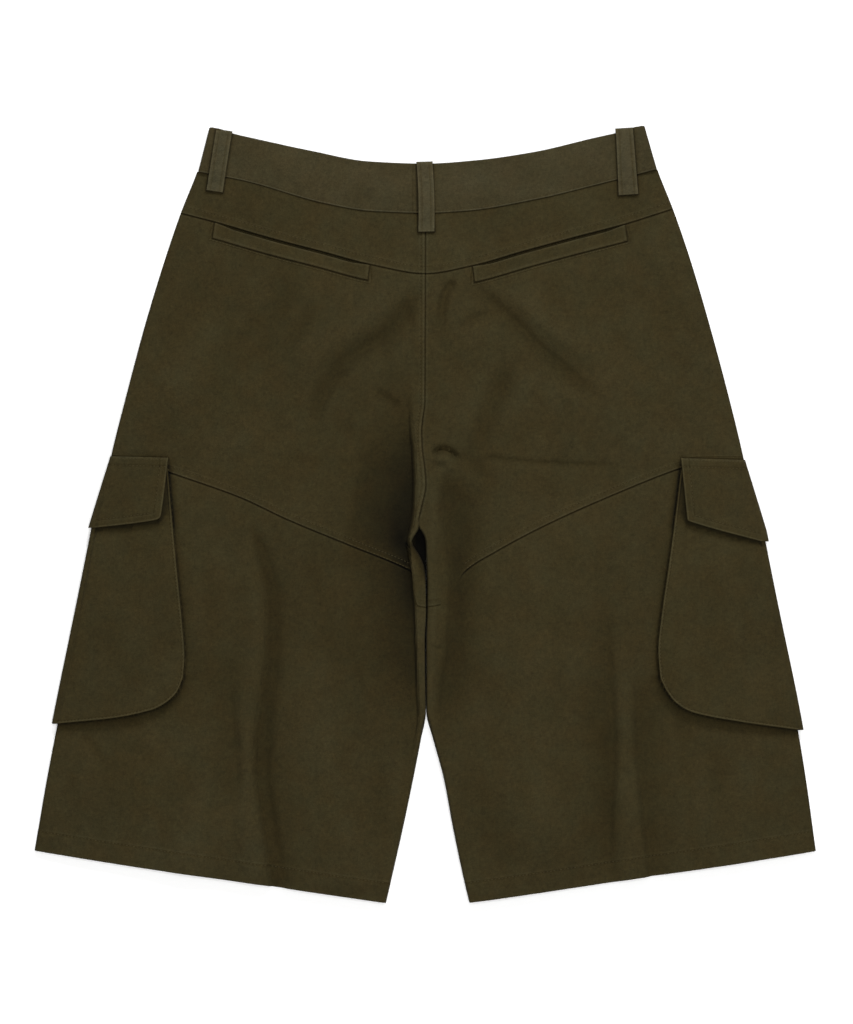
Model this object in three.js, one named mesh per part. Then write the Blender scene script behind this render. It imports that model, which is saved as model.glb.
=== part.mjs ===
// Knee-length cargo shorts laid flat with the back side up.
// Millimetres. +X is the wearer's right, +Y runs towards the waist, +Z is up
// out of the surface. The origin is the centre of the outline on the surface.
import * as THREE from 'three';

// ---- cloth and gaps ----
const CLOTH = 1.2;        // wall of a single panel
const HEM_FOLD = 0.8;     // extra wall where a leg end is turned up
const HEM_HEIGHT = 19;    // depth of the turned-up hem
const BAND = 2.0;         // waistband wall
const POCKET = 1.4;       // cargo pocket wall
const POCKET_RIM = 1.0;   // extra wall along the pocket's free edge
const FLAP = 1.6;         // pocket flap wall
const LOOP = 1.4;         // belt loop wall
const LOOP_WIDTH = 15;
const WELT = 1.2;         // welt wall
const ZIP = 0.9;          // zip tape wall
const ZIP_WIDTH = 24;
const ZIP_LENGTH = 150;
const BUTTON_RADIUS = 8.5;
const BUTTON_HEIGHT = 3.0;
const SEAM = 0.3;         // gap between pieces at a seam
const LAY = 0.5;          // gap between layers that lie on each other
const half = SEAM / 2;

// ---- how the layers lie ----
const EDGE_ROLL = 28;     // width over which a back panel rises from its edge
const EDGE_RISE = 1.0;    // rise of the back panel inside that width
const AIR = 1.2;          // slack between back and front
const FOLD_LOW = -1.7;    // deepest trough and highest ridge of the slack
const FOLD_HIGH = 1.3;
const BAND_SIDE = 1.1;    // extra height of the waistband where it turns round the side
const CROTCH_Y = -12;

// ---- outlines ----
// side outline of hips and legs, without pockets
const SIDE = [
  { y: 362, left: -200.5, right: 203.5 },
  { y: 325, left: -210.5, right: 214.5 },
  { y: 280, left: -228.0, right: 232.0 },
  { y: 236, left: -243.0, right: 247.0 },
  { y: 180, left: -260.0, right: 263.5 },
  { y: 106, left: -279.5, right: 283.0 },
  { y: 54, left: -292.5, right: 295.5 },
  { y: -80, left: -319.5, right: 322.5 },
  { y: -200, left: -343.5, right: 346.5 },
  { y: -255, left: -354.0, right: 355.5 },
  { y: -316, left: -364.5, right: 364.0 },
];
// centre back seam, open crotch, then the inner edges of the legs
const INNER_BACK = [
  { y: 340, left: 0.0, right: 0.0 },
  { y: 106, left: -0.5, right: -0.5 },
  { y: 76, left: -3.5, right: -3.5 },
  { y: 43, left: -1.0, right: -1.0 },
  { y: 5, left: -4.0, right: -4.0 },
  { y: -10, left: -8.0, right: -7.0 },
  { y: -26, left: -14.0, right: 1.0 },
  { y: -71, left: 0.0, right: 1.4 },
  { y: -185, left: 0.2, right: 0.8 },
  { y: -248, left: -11.5, right: 17.0 },
  { y: -293, left: -21.0, right: 25.5 },
  { y: -365, left: -38.0, right: 41.5 },
];
// centre front seam and the same inner edges
const INNER_FRONT = [
  { y: 300, left: 0.5, right: 0.5 },
  { y: -71, left: 0.2, right: 0.8 },
  { y: -185, left: 0.2, right: 0.8 },
  { y: -248, left: -11.5, right: 17.0 },
  { y: -293, left: -21.0, right: 25.5 },
  { y: -365, left: -38.0, right: 41.5 },
];
// back waist edge, waistband seam and yoke seam across the back
const WAIST_BACK = [
  { x: -202, y: 358.5 }, { x: -163, y: 350 }, { x: -107, y: 338 }, { x: -52, y: 328 },
  { x: 0, y: 326 }, { x: 46, y: 329 }, { x: 102, y: 337 }, { x: 158, y: 350 }, { x: 205, y: 360 },
];
const BAND_SEAM_BACK = [
  { x: -212, y: 318.5 }, { x: -169, y: 310 }, { x: -95, y: 289 }, { x: -51, y: 281.5 },
  { x: 0, y: 279.5 }, { x: 38, y: 281.5 }, { x: 103, y: 292.5 }, { x: 178, y: 311 }, { x: 216, y: 321 },
];
const YOKE_SEAM = [
  { x: -228, y: 279.5 }, { x: -194, y: 270.5 }, { x: -139, y: 254.5 }, { x: -95, y: 243 },
  { x: -52, y: 231.5 }, { x: 0, y: 222.7 }, { x: 43, y: 230 }, { x: 94, y: 244.5 },
  { x: 138, y: 256.5 }, { x: 187, y: 269.5 }, { x: 232, y: 284 },
];
// seam that slants from the cargo pocket down to the inner leg
const SLANT_LEFT = [
  { x: -293, y: 57 }, { x: -238, y: 38 }, { x: -173, y: 15 }, { x: -128, y: -6 },
  { x: -70, y: -30 }, { x: -19, y: -52 }, { x: 0, y: -87 },
];
const SLANT_RIGHT = [
  { x: 2, y: -87 }, { x: 13.5, y: -85 }, { x: 26.5, y: -71 }, { x: 36, y: -55 }, { x: 65, y: -36 },
  { x: 111, y: -11.5 }, { x: 158, y: 10 }, { x: 236, y: 41.5 }, { x: 296, y: 65 },
];
// leg ends
const HEM_LEFT = [
  { x: -364.5, y: -313 }, { x: -271, y: -328 }, { x: -159.5, y: -343.5 }, { x: -37, y: -361.3 },
];
const HEM_RIGHT = [
  { x: 41, y: -361.3 }, { x: 69, y: -357.5 }, { x: 181, y: -341 }, { x: 292.5, y: -324 }, { x: 364, y: -313 },
];
// front waist edge and front waistband seam, lower than the back ones
const WAIST_FRONT = [
  { x: -202, y: 358.5 }, { x: -150, y: 334 }, { x: -100, y: 315 }, { x: -50, y: 302 },
  { x: 0, y: 297 }, { x: 50, y: 302 }, { x: 100, y: 315 }, { x: 150, y: 334.5 }, { x: 205, y: 360 },
];
const BAND_SEAM_FRONT = [
  { x: -212, y: 318.5 }, { x: -150, y: 290 }, { x: -100, y: 270 }, { x: -50, y: 257 },
  { x: 0, y: 252 }, { x: 50, y: 257 }, { x: 100, y: 270 }, { x: 150, y: 291 }, { x: 216, y: 321 },
];
// free edge of each cargo pocket: inner edge down its height, then the bottom edge
const POCKET_EDGE_LEFT = [
  { y: 40, x: -238.5 }, { y: -3, x: -235 }, { y: -56, x: -230 }, { y: -101, x: -225.5 },
  { y: -133, x: -223.3 }, { y: -151, x: -224.5 }, { y: -165, x: -230 }, { y: -185, x: -243 },
];
const POCKET_FOOT_LEFT = [
  { x: -346, y: -195.8 }, { x: -327, y: -194 }, { x: -288, y: -189.8 }, { x: -254, y: -182.5 },
  { x: -240, y: -175.5 }, { x: -230, y: -165 }, { x: -224, y: -150 },
];
const POCKET_EDGE_RIGHT = [
  { y: 40, x: 236.5 }, { y: -3, x: 231.5 }, { y: -47, x: 225.5 }, { y: -92, x: 219 },
  { y: -127, x: 215.5 }, { y: -152, x: 217.5 }, { y: -168, x: 225.5 }, { y: -187, x: 240 },
];
const POCKET_FOOT_RIGHT = [
  { x: 218, y: -154 }, { x: 225.5, y: -168.5 }, { x: 239.5, y: -181 }, { x: 261, y: -188 },
  { x: 291, y: -193.3 }, { x: 349, y: -201.5 },
];
// flaps: inner edge, top edge and bottom edge
const FLAP_EDGE_LEFT = [{ y: 54, x: -238 }, { y: -3, x: -245 }, { y: -20, x: -249 }];
const FLAP_TOP_LEFT = [{ x: -296, y: 53.5 }, { x: -238, y: 51.8 }];
const FLAP_FOOT_LEFT = [{ x: -316, y: -14.5 }, { x: -246, y: -5.5 }];
const FLAP_EDGE_RIGHT = [{ y: 54, x: 236.5 }, { y: -7, x: 242.5 }, { y: -20, x: 244 }];
const FLAP_TOP_RIGHT = [{ x: 236, y: 51.5 }, { x: 299, y: 49.8 }];
const FLAP_FOOT_RIGHT = [{ x: 242, y: -6.5 }, { x: 321, y: -28.5 }];
// welts of the back pockets: upper line from the outer to the inner end, and their depth
const WELTS = [
  { name: 'welt_left', x0: -197, y0: 268.5, x1: -51, y1: 229.5, depth0: 15, depth1: 14.5 },
  { name: 'welt_right', x0: 185, y0: 266.5, x1: 43.5, y1: 228, depth0: 15.5, depth1: 15 },
];
// belt loops of the back: middle of the top end and of the bottom end
const BACK_LOOPS = [
  { name: 'belt_loop_back_left', x0: -187.5, y0: 354.2, x1: -196.2, y1: 300.5 },
  { name: 'belt_loop_back_centre', x0: -1.0, y0: 326.8, x1: 0.6, y1: 262 },
  { name: 'belt_loop_back_right', x0: 184.5, y0: 356.2, x1: 188.5, y1: 295.5 },
];
const FRONT_LOOPS = [
  { name: 'belt_loop_front_left', x0: -97, y0: 313, x1: -92, y1: 257 },
  { name: 'belt_loop_front_right', x0: 97, y0: 313, x1: 92, y1: 257 },
];
// largest folds of the upper layer: line, half width and rise of a ridge or fall of a trough
const FOLDS = [
  { name: 'seat valley', x0: -27, y0: 60, x1: -24, y1: -60, half: 20, rise: -1.6 },
  { name: 'centre ridge', x0: -4, y0: 90, x1: -8, y1: 10, half: 12, rise: 1.2 },
  { name: 'left thigh ridge', x0: -14, y0: -30, x1: -8, y1: -160, half: 14, rise: 1.3 },
  { name: 'left leg trough', x0: -147, y0: -50, x1: -150, y1: -340, half: 15, rise: -1.3 },
  { name: 'left leg ridge', x0: -118, y0: -70, x1: -122, y1: -335, half: 18, rise: 1.1 },
  { name: 'left outer trough', x0: -178, y0: -150, x1: -176, y1: -290, half: 13, rise: -0.8 },
  { name: 'right leg trough', x0: 162, y0: -80, x1: 165, y1: -340, half: 17, rise: -1.3 },
  { name: 'right leg ridge', x0: 135, y0: -80, x1: 138, y1: -320, half: 18, rise: 1.1 },
  { name: 'right outer trough', x0: 204, y0: -205, x1: 203, y1: -330, half: 13, rise: -0.9 },
  { name: 'right thigh trough', x0: 34, y0: -60, x1: 30, y1: -190, half: 12, rise: -1.3 },
  { name: 'left hip crease', x0: -42, y0: 175, x1: -92, y1: 130, half: 13, rise: -1.0 },
  { name: 'left hip crease end', x0: -98, y0: 122, x1: -108, y1: 78, half: 13, rise: -0.9 },
  { name: 'left hip ridge', x0: -20, y0: 190, x1: -80, y1: 150, half: 14, rise: 0.9 },
  { name: 'right hip crease', x0: 72, y0: 190, x1: 150, y1: 118, half: 13, rise: -0.9 },
  { name: 'right seat crease', x0: 70, y0: 150, x1: 42, y1: 50, half: 13, rise: -0.8 },
  { name: 'right seat ridge', x0: 50, y0: 150, x1: 20, y1: 30, half: 14, rise: 0.9 },
];
// what the front lies on: height and reach of each lift, left and right alike
const WAIST_LIFT = { button: BUTTON_HEIGHT + LAY, loop: LOOP + LAY, near: 26, loopFrom: 62, loopTo: 130, end: 172 };
const POCKET_REACH = { across: 124, foot: -200, head: 56, margin: 30, ramp: 70, headRamp: 130 };
const FLAP_REACH = { foot: -40, end: -135 };

// ---- helpers ----
const lerp = (a, b, t) => a + (b - a) * t;
const ease = (t) => { const c = Math.min(1, Math.max(0, t)); return c * c * (3 - 2 * c); };
const steps = (n) => Array.from({ length: n + 1 }, (_, k) => k / n);

// smooth line through a table's rows, as a function of one column
function line(rows, key, value) {
  const r = [...rows].sort((a, b) => a[key] - b[key]);
  const n = r.length;
  const d = [], m = [];
  for (let i = 0; i < n - 1; i++) d.push((r[i + 1][value] - r[i][value]) / (r[i + 1][key] - r[i][key]));
  for (let i = 0; i < n; i++) {
    if (i === 0) m.push(d[0]);
    else if (i === n - 1) m.push(d[n - 2]);
    else m.push(d[i - 1] * d[i] <= 0 ? 0 : (2 * d[i - 1] * d[i]) / (d[i - 1] + d[i]));
  }
  return (q) => {
    if (q <= r[0][key]) return r[0][value] + m[0] * (q - r[0][key]);
    if (q >= r[n - 1][key]) return r[n - 1][value] + m[n - 1] * (q - r[n - 1][key]);
    let i = 0;
    while (q > r[i + 1][key]) i++;
    const h = r[i + 1][key] - r[i][key], t = (q - r[i][key]) / h;
    const a = r[i][value], b = r[i + 1][value];
    return a * (1 + 2 * t) * (1 - t) ** 2 + m[i] * h * t * (1 - t) ** 2
      + b * t * t * (3 - 2 * t) + m[i + 1] * h * t * t * (t - 1);
  };
}

const side = { left: line(SIDE, 'y', 'left'), right: line(SIDE, 'y', 'right') };
const innerBack = { left: line(INNER_BACK, 'y', 'left'), right: line(INNER_BACK, 'y', 'right') };
const innerFront = { left: line(INNER_FRONT, 'y', 'left'), right: line(INNER_FRONT, 'y', 'right') };
const waistBack = line(WAIST_BACK, 'x', 'y');
const bandSeamBack = line(BAND_SEAM_BACK, 'x', 'y');
const yokeSeam = line(YOKE_SEAM, 'x', 'y');
const slant = { left: line(SLANT_LEFT, 'x', 'y'), right: line(SLANT_RIGHT, 'x', 'y') };
const hem = { left: line(HEM_LEFT, 'x', 'y'), right: line(HEM_RIGHT, 'x', 'y') };
const waistFront = line(WAIST_FRONT, 'x', 'y');
const bandSeamFront = line(BAND_SEAM_FRONT, 'x', 'y');

// height on a border line for column u between two edges
function borderY(edgeOut, edgeIn, border, u) {
  let y = border(lerp(edgeOut(200), edgeIn(200), u));
  for (let k = 0; k < 80; k++) y = lerp(y, border(lerp(edgeOut(y), edgeIn(y), u)), 0.6);
  return y;
}

// distance from a point to a fold's line
function toLine(x, y, f) {
  const dx = f.x1 - f.x0, dy = f.y1 - f.y0;
  const t = Math.min(1, Math.max(0, ((x - f.x0) * dx + (y - f.y0) * dy) / (dx * dx + dy * dy)));
  return Math.hypot(x - f.x0 - t * dx, y - f.y0 - t * dy);
}

// how far inside the side outline a point is
const inward = (x, y) => (x < 0 ? x - side.left(y) : side.right(y) - x);

// height of the flap's share of the lift under the front
function flapLift(y) {
  return (FLAP + LAY) * ease((y - FLAP_REACH.end) / (FLAP_REACH.foot - FLAP_REACH.end));
}

// height of the front's underside over the surface
function under(x, y) {
  const r = POCKET_REACH;
  const away = Math.max(inward(x, y) - r.across, r.foot - y);
  const over = (1 - ease((away - r.margin) / r.ramp)) * (1 - ease((y - r.head - r.margin) / r.headRamp));
  const pocketLift = over * (POCKET + LAY + flapLift(y));
  const w = WAIST_LIFT, ax = Math.abs(x);
  const across = w.loop * (1 - ease((ax - w.loopTo) / (w.end - w.loopTo)))
    + (w.button - w.loop) * (1 - ease((ax - w.near) / (w.loopFrom - w.near)));
  const along = ease((y - bandSeamFront(x) + 150) / 128);
  return pocketLift + across * along;
}

const hemSide = (x) => (x < 1 ? hem.left(x) : hem.right(x));
const inHem = (x, y) => y - hemSide(x) < HEM_HEIGHT + 1;

// wall of the front panels
const frontWall = (x, y) => CLOTH + (inHem(x, y) ? HEM_FOLD : 0);

// distance to the nearest edge where back and front are joined
function toEdge(x, y) {
  const open = ease((CROTCH_Y - y) / 50);
  const toInner = x < 0.5 ? innerFront.left(y) - x : x - innerFront.right(y);
  return Math.min(inward(x, y), lerp(1000, Math.max(0, toInner), open));
}

// underside of the back panels
function level(x, y) {
  let fold = 0;
  for (const f of FOLDS) fold += f.rise * Math.exp(-((toLine(x, y, f) / f.half) ** 2));
  const roll = ease(toEdge(x, y) / EDGE_ROLL);
  const slack = AIR + Math.min(FOLD_HIGH, Math.max(FOLD_LOW, fold));
  return under(x, y) + frontWall(x, y) + SEAM + roll * (EDGE_RISE + Math.max(0.1, slack));
}

// closed wall from rows of inner and outer points
function wall(rows) {
  const nv = rows.length, nu = rows[0].length;
  const pos = [];
  for (const row of rows) for (const p of row) pos.push(...p.o);
  for (const row of rows) for (const p of row) pos.push(...p.i);
  const O = (v, u) => v * nu + u, I = (v, u) => nv * nu + v * nu + u;
  const idx = [];
  const quad = (a, b, c, d) => idx.push(a, b, c, a, c, d);
  for (let v = 0; v < nv - 1; v++) {
    for (let u = 0; u < nu - 1; u++) {
      quad(O(v, u), O(v + 1, u), O(v + 1, u + 1), O(v, u + 1));
      quad(I(v, u), I(v, u + 1), I(v + 1, u + 1), I(v + 1, u));
    }
    quad(O(v, 0), I(v, 0), I(v + 1, 0), O(v + 1, 0));
    quad(O(v, nu - 1), O(v + 1, nu - 1), I(v + 1, nu - 1), I(v, nu - 1));
  }
  for (let u = 0; u < nu - 1; u++) {
    quad(O(0, u), O(0, u + 1), I(0, u + 1), I(0, u));
    quad(O(nv - 1, u), I(nv - 1, u), I(nv - 1, u + 1), O(nv - 1, u + 1));
  }
  let volume = 0;
  const at = (k) => new THREE.Vector3(pos[3 * k], pos[3 * k + 1], pos[3 * k + 2]);
  for (let t = 0; t < idx.length; t += 3) volume += at(idx[t]).dot(at(idx[t + 1]).cross(at(idx[t + 2])));
  if (volume < 0) for (let t = 0; t < idx.length; t += 3) [idx[t + 1], idx[t + 2]] = [idx[t + 2], idx[t + 1]];
  const g = new THREE.BufferGeometry();
  g.setAttribute('position', new THREE.Float32BufferAttribute(pos, 3));
  g.setIndex(idx);
  const flat = g.toNonIndexed();
  flat.computeVertexNormals();
  return flat;
}

// ---- materials ----
const twill = new THREE.MeshStandardMaterial({ color: 0x3a3220, roughness: 0.95, metalness: 0 });
const horn = new THREE.MeshStandardMaterial({ color: 0x1e1a12, roughness: 0.45, metalness: 0 });
const tape = new THREE.MeshStandardMaterial({ color: 0x2c2618, roughness: 0.9, metalness: 0 });

const shorts = new THREE.Group();
function add(name, geometry, material = twill) {
  const m = new THREE.Mesh(geometry, material);
  m.name = name;
  shorts.add(m);
}

// a panel between two edges and two borders, lying at the height zOf
function panel({ edgeOut, edgeIn, top, foot, columns, rows, zOf, wallOf, hemmed = false, s }) {
  const inner = (y) => edgeIn(y) - s * half * -1;
  const cols = steps(columns);
  const border = cols.map((u) => ({
    yT: borderY(edgeOut, inner, top, u) - half,
    yB: borderY(edgeOut, inner, foot, u) + (hemmed ? 0 : half),
  }));
  const out = [];
  const levels = steps(rows).map((v) => (c) => lerp(c.yT, c.yB + (hemmed ? HEM_HEIGHT + 3 : 0), v));
  if (hemmed) levels.push((c) => c.yB + HEM_HEIGHT, (c) => c.yB);
  for (const f of levels) {
    out.push(cols.map((u, k) => {
      const y = f(border[k]);
      const x = lerp(edgeOut(y), inner(y), u);
      const z = zOf(x, y);
      return { i: [x, y, z], o: [x, y, z + wallOf(x, y)] };
    }));
  }
  return wall(out);
}

const COLUMNS_BACK = 16, COLUMNS_FRONT = 10;
const backWall = (x, y) => CLOTH + (inHem(x, y) ? HEM_FOLD : 0);
for (const key of ['left', 'right']) {
  const s = key === 'left' ? -1 : 1;
  const back = { edgeOut: side[key], edgeIn: innerBack[key], columns: COLUMNS_BACK, zOf: level, wallOf: backWall, s };
  add(`yoke_${key}`, panel({ ...back, top: bandSeamBack, foot: yokeSeam, rows: 3 }));
  add(`back_${key}`, panel({ ...back, top: yokeSeam, foot: slant[key], rows: 14 }));
  add(`back_leg_${key}`, panel({ ...back, top: slant[key], foot: hem[key], rows: 11, hemmed: true }));
  add(`front_${key}`, panel({
    edgeOut: side[key], edgeIn: innerFront[key], columns: COLUMNS_FRONT, zOf: under, wallOf: frontWall, s,
    top: bandSeamFront, foot: hem[key], rows: 19, hemmed: true,
  }));
}

// ---- pieces that turn round the side ----
// A row runs from the free end on top, round the side at xEdge and back underneath.
function turn(upper, lower, xEdge, s, t, arcs) {
  const row = [];
  for (const p of upper) row.push({ i: [p.x, p.y, p.z], o: [p.x, p.y, p.z + (p.t ?? t)] });
  const a = upper[upper.length - 1], b = lower[0];
  const zc = (a.z + b.z) / 2, r = (a.z - b.z) / 2;
  for (let k = 1; k < arcs; k++) {
    const w = Math.PI * (0.5 - k / arcs), y = lerp(a.y, b.y, k / arcs);
    row.push({
      i: [xEdge + s * r * Math.cos(w), y, zc + r * Math.sin(w)],
      o: [xEdge + s * (r + t) * Math.cos(w), y, zc + (r + t) * Math.sin(w)],
    });
  }
  for (const p of lower) row.push({ i: [p.x, p.y, p.z], o: [p.x, p.y, p.z - t] });
  return row;
}

// waistband halves: back, round the side, front
for (const key of ['left', 'right']) {
  const s = key === 'left' ? -1 : 1;
  const rows = [];
  for (const v of steps(2)) {
    const edgeX0 = lerp(s < 0 ? -201.3 : 204.0, s < 0 ? -211.8 : 215.6, v);
    const edgeY = lerp(waistBack(edgeX0), bandSeamBack(edgeX0), v) + (v === 1 ? half : 0);
    const zBack = (x, y) => level(x, y) + BAND_SIDE * ease(1 - (inward(x, y)) / 60) + 1.0 * ease(1 - inward(x, y) / EDGE_ROLL);
    const rOut = (zBack(edgeX0, edgeY) - (under(edgeX0, edgeY) + BAND)) / 2 + BAND;
    const xe = edgeX0 - s * rOut;
    const seamX = (edge, border, u) => {
      const inner = (y) => edge(y) + s * half;
      return lerp(side[key](borderY(side[key], inner, border, u)), inner(260), u);
    };
    const edgeSeam = s < 0 ? -211.8 : 215.6;
    const spread = lerp(edgeX0 / edgeSeam, 1, ease(v));
    const upper = steps(COLUMNS_BACK).reverse().map((u) => {
      const x = u === 0 ? xe : seamX(innerBack[key], bandSeamBack, u) * spread;
      const y = u === 0 ? edgeY : lerp(waistBack(x), bandSeamBack(x) + half, v);
      return { x, y, z: zBack(x, y) };
    });
    const lower = steps(COLUMNS_FRONT).map((u) => {
      const x = u === 0 ? xe : seamX(innerFront[key], bandSeamFront, u) * spread + (u === 1 ? 0.5 * (1 - spread) : 0);
      const y = u === 0 ? edgeY : lerp(waistFront(x), bandSeamFront(x) + half, v);
      return { x, y, z: under(x, y) + BAND };
    });
    rows.push(turn(upper, lower, xe, s, BAND, 5));
  }
  add(`waistband_${key}`, wall(rows));
}

// cargo pockets and their flaps
const pocketLines = {
  left: { edge: line(POCKET_EDGE_LEFT, 'y', 'x'), foot: line(POCKET_FOOT_LEFT, 'x', 'y') },
  right: { edge: line(POCKET_EDGE_RIGHT, 'y', 'x'), foot: line(POCKET_FOOT_RIGHT, 'x', 'y') },
};
const flapLines = {
  left: { edge: line(FLAP_EDGE_LEFT, 'y', 'x'), top: line(FLAP_TOP_LEFT, 'x', 'y'), foot: line(FLAP_FOOT_LEFT, 'x', 'y') },
  right: { edge: line(FLAP_EDGE_RIGHT, 'y', 'x'), top: line(FLAP_TOP_RIGHT, 'x', 'y'), foot: line(FLAP_FOOT_RIGHT, 'x', 'y') },
};
const POCKET_TOP = 40;
// height of the pocket's inner face over the leg
const pocketIn = (x, y) => level(x, y) + backWall(x, y) + LAY;

for (const key of ['left', 'right']) {
  const s = key === 'left' ? -1 : 1;
  const wrap = ({ edge, top, foot, columns, rows, zUp, zDown, t, tOf }) => {
    const out = side[key];
    const cols = steps(columns);
    const border = cols.map((u) => ({ yT: borderY(edge, out, top, u), yB: borderY(edge, out, foot, u) }));
    return wall(steps(rows).map((v) => {
      const run = cols.map((u, k) => {
        const y = lerp(border[k].yT, border[k].yB, v);
        return { x: lerp(edge(y), out(y), u), y, u };
      });
      const upper = run.map((p) => ({ ...p, z: zUp(p.x, p.y), t: tOf ? tOf(p.u, p.y, v) : t }));
      const lower = [...run].reverse().map((p) => ({ ...p, z: zDown(p.x, p.y) }));
      return turn(upper, lower, out(run[run.length - 1].y), s, t, 5);
    }));
  };
  const flapFoot = flapLines[key].foot;
  add(`cargo_pocket_${key}`, wrap({
    edge: pocketLines[key].edge, top: () => POCKET_TOP, foot: pocketLines[key].foot,
    columns: 6, rows: 10, t: POCKET,
    tOf: (u, y, v) => POCKET + (y < -50 && (u === 0 || v === 1) ? POCKET_RIM : 0),
    zUp: pocketIn,
    zDown: (x, y) => under(x, y) - LAY,
  }));
  add(`pocket_flap_${key}`, wrap({
    edge: flapLines[key].edge, top: flapLines[key].top, foot: flapFoot,
    columns: 4, rows: 4, t: FLAP,
    zUp: (x, y) => pocketIn(x, y) + POCKET + LAY,
    zDown: (x, y) => under(x, y) - LAY - POCKET - LAY,
  }));
}

// ---- pieces that lie on a panel ----
function strip(from, to, widths, count, across, zOf, t) {
  const rows = [];
  for (const k of steps(count)) {
    const cx = lerp(from.x, to.x, k), cy = lerp(from.y, to.y, k);
    rows.push(steps(across).map((j) => {
      const w = lerp(widths[0], widths[1], k);
      const x = cx + from.nx * w * j, y = cy + from.ny * w * j;
      const z = zOf(x, y, k);
      return { i: [x, y, z], o: [x, y, z + t] };
    }));
  }
  return wall(rows);
}

for (const w of WELTS) {
  const len = Math.hypot(w.x1 - w.x0, w.y1 - w.y0);
  const sign = w.x1 > w.x0 ? 1 : -1;
  const nx = (sign * (w.y1 - w.y0)) / len, ny = (-sign * (w.x1 - w.x0)) / len;
  add(w.name, strip({ x: w.x0, y: w.y0 - 1, nx, ny }, { x: w.x1, y: w.y1 - 1 }, [w.depth0, w.depth1], 8, 2,
    (x, y) => level(x, y) + CLOTH + SEAM, WELT));
}

for (const l of BACK_LOOPS) {
  const len = Math.hypot(l.x1 - l.x0, l.y1 - l.y0);
  const nx = -(l.y1 - l.y0) / len, ny = (l.x1 - l.x0) / len;
  const start = { x: l.x0 - (nx * LOOP_WIDTH) / 2, y: l.y0 - (ny * LOOP_WIDTH) / 2, nx, ny };
  const end = { x: l.x1 - (nx * LOOP_WIDTH) / 2, y: l.y1 - (ny * LOOP_WIDTH) / 2 };
  const height = (x, y) => {
    const side0 = ease(1 - inward(x, y) / 60) * BAND_SIDE + 1.0 * ease(1 - inward(x, y) / EDGE_ROLL);
    return level(x, y) + side0 + BAND + LAY;
  };
  add(l.name, strip(start, end, [LOOP_WIDTH, LOOP_WIDTH], 6, 2, (x, y) => height(x, y), LOOP));
}
for (const l of FRONT_LOOPS) {
  const len = Math.hypot(l.x1 - l.x0, l.y1 - l.y0);
  const nx = -(l.y1 - l.y0) / len, ny = (l.x1 - l.x0) / len;
  const start = { x: l.x0 - (nx * LOOP_WIDTH) / 2, y: l.y0 - (ny * LOOP_WIDTH) / 2, nx, ny };
  const end = { x: l.x1 - (nx * LOOP_WIDTH) / 2, y: l.y1 - (ny * LOOP_WIDTH) / 2 };
  add(l.name, strip(start, end, [LOOP_WIDTH, LOOP_WIDTH], 5, 1, (x, y) => under(x, y) - LAY - LOOP, LOOP));
}

// zip tape inside the centre front, and the waist button under the front waistband
const zipTop = bandSeamFront(0) - 3;
add('fly_zip', strip({ x: 0.5 - ZIP_WIDTH / 2, y: zipTop, nx: 1, ny: 0 }, { x: 0.5 - ZIP_WIDTH / 2, y: zipTop - ZIP_LENGTH },
  [ZIP_WIDTH, ZIP_WIDTH], 6, 2, (x, y) => under(x, y) + CLOTH + SEAM, ZIP), tape);

const button = new THREE.CylinderGeometry(BUTTON_RADIUS, BUTTON_RADIUS - 0.8, BUTTON_HEIGHT, 24);
button.rotateX(Math.PI / 2);
button.translate(-12, 274.5, BUTTON_HEIGHT / 2);
add('waist_button', button, horn);

// the origin is the centre of the outline
const box = new THREE.Box3().setFromObject(shorts);
shorts.position.set(-(box.min.x + box.max.x) / 2, -(box.min.y + box.max.y) / 2, 0);

export default shorts;
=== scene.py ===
"""Cargo shorts laid flat, back side up: cloth, stitches, materials, light and camera.

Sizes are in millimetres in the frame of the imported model, and become metres when a mesh is made.
+X is the wearer's right, +Y runs to the waist, +Z is up from the surface.
"""
import math

import bpy
import numpy as np
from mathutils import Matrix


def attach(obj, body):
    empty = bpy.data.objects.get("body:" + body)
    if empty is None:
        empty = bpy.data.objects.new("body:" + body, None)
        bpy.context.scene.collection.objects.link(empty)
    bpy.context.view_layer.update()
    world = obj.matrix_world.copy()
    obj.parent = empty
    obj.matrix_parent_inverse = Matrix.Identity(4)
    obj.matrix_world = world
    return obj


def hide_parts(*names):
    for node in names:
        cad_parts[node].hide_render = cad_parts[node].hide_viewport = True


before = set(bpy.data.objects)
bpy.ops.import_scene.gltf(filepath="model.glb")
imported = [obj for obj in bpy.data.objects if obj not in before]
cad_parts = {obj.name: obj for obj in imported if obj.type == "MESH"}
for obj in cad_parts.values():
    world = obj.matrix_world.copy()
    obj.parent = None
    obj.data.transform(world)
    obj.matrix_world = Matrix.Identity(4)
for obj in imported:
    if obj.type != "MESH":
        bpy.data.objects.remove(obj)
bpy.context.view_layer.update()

# ---------------------------------------------------------------- sizes
CLOTH = 0.9          # panel
HEM_WALL = 1.9       # leg end, turned up
HEM_HEIGHT = 19.0
BAND_WALL = 2.0      # waistband
SEAM = 0.3
SHIFT_X, SHIFT_Y = 0.205, 0.765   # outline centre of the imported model
PX = 0.93            # millimetres in one pixel of the 853 x 1024 frame
MID_X, MID_Y = 425.5, 513.5


def P(px, py):
    """A place in the picture frame, as millimetres on the surface."""
    return (px - MID_X) * PX, (MID_Y - py) * PX


# ---------------------------------------------------------------- helper maths
def ease(t):
    t = np.clip(t, 0.0, 1.0)
    return t * t * (3.0 - 2.0 * t)


def mix(a, b, t):
    return a + (b - a) * t


def roll(q):
    """Quarter circle from 0 to 1."""
    q = np.clip(q, 0.0, 1.0)
    return np.sqrt(np.maximum(0.0, 1.0 - (1.0 - q) ** 2))


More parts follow.
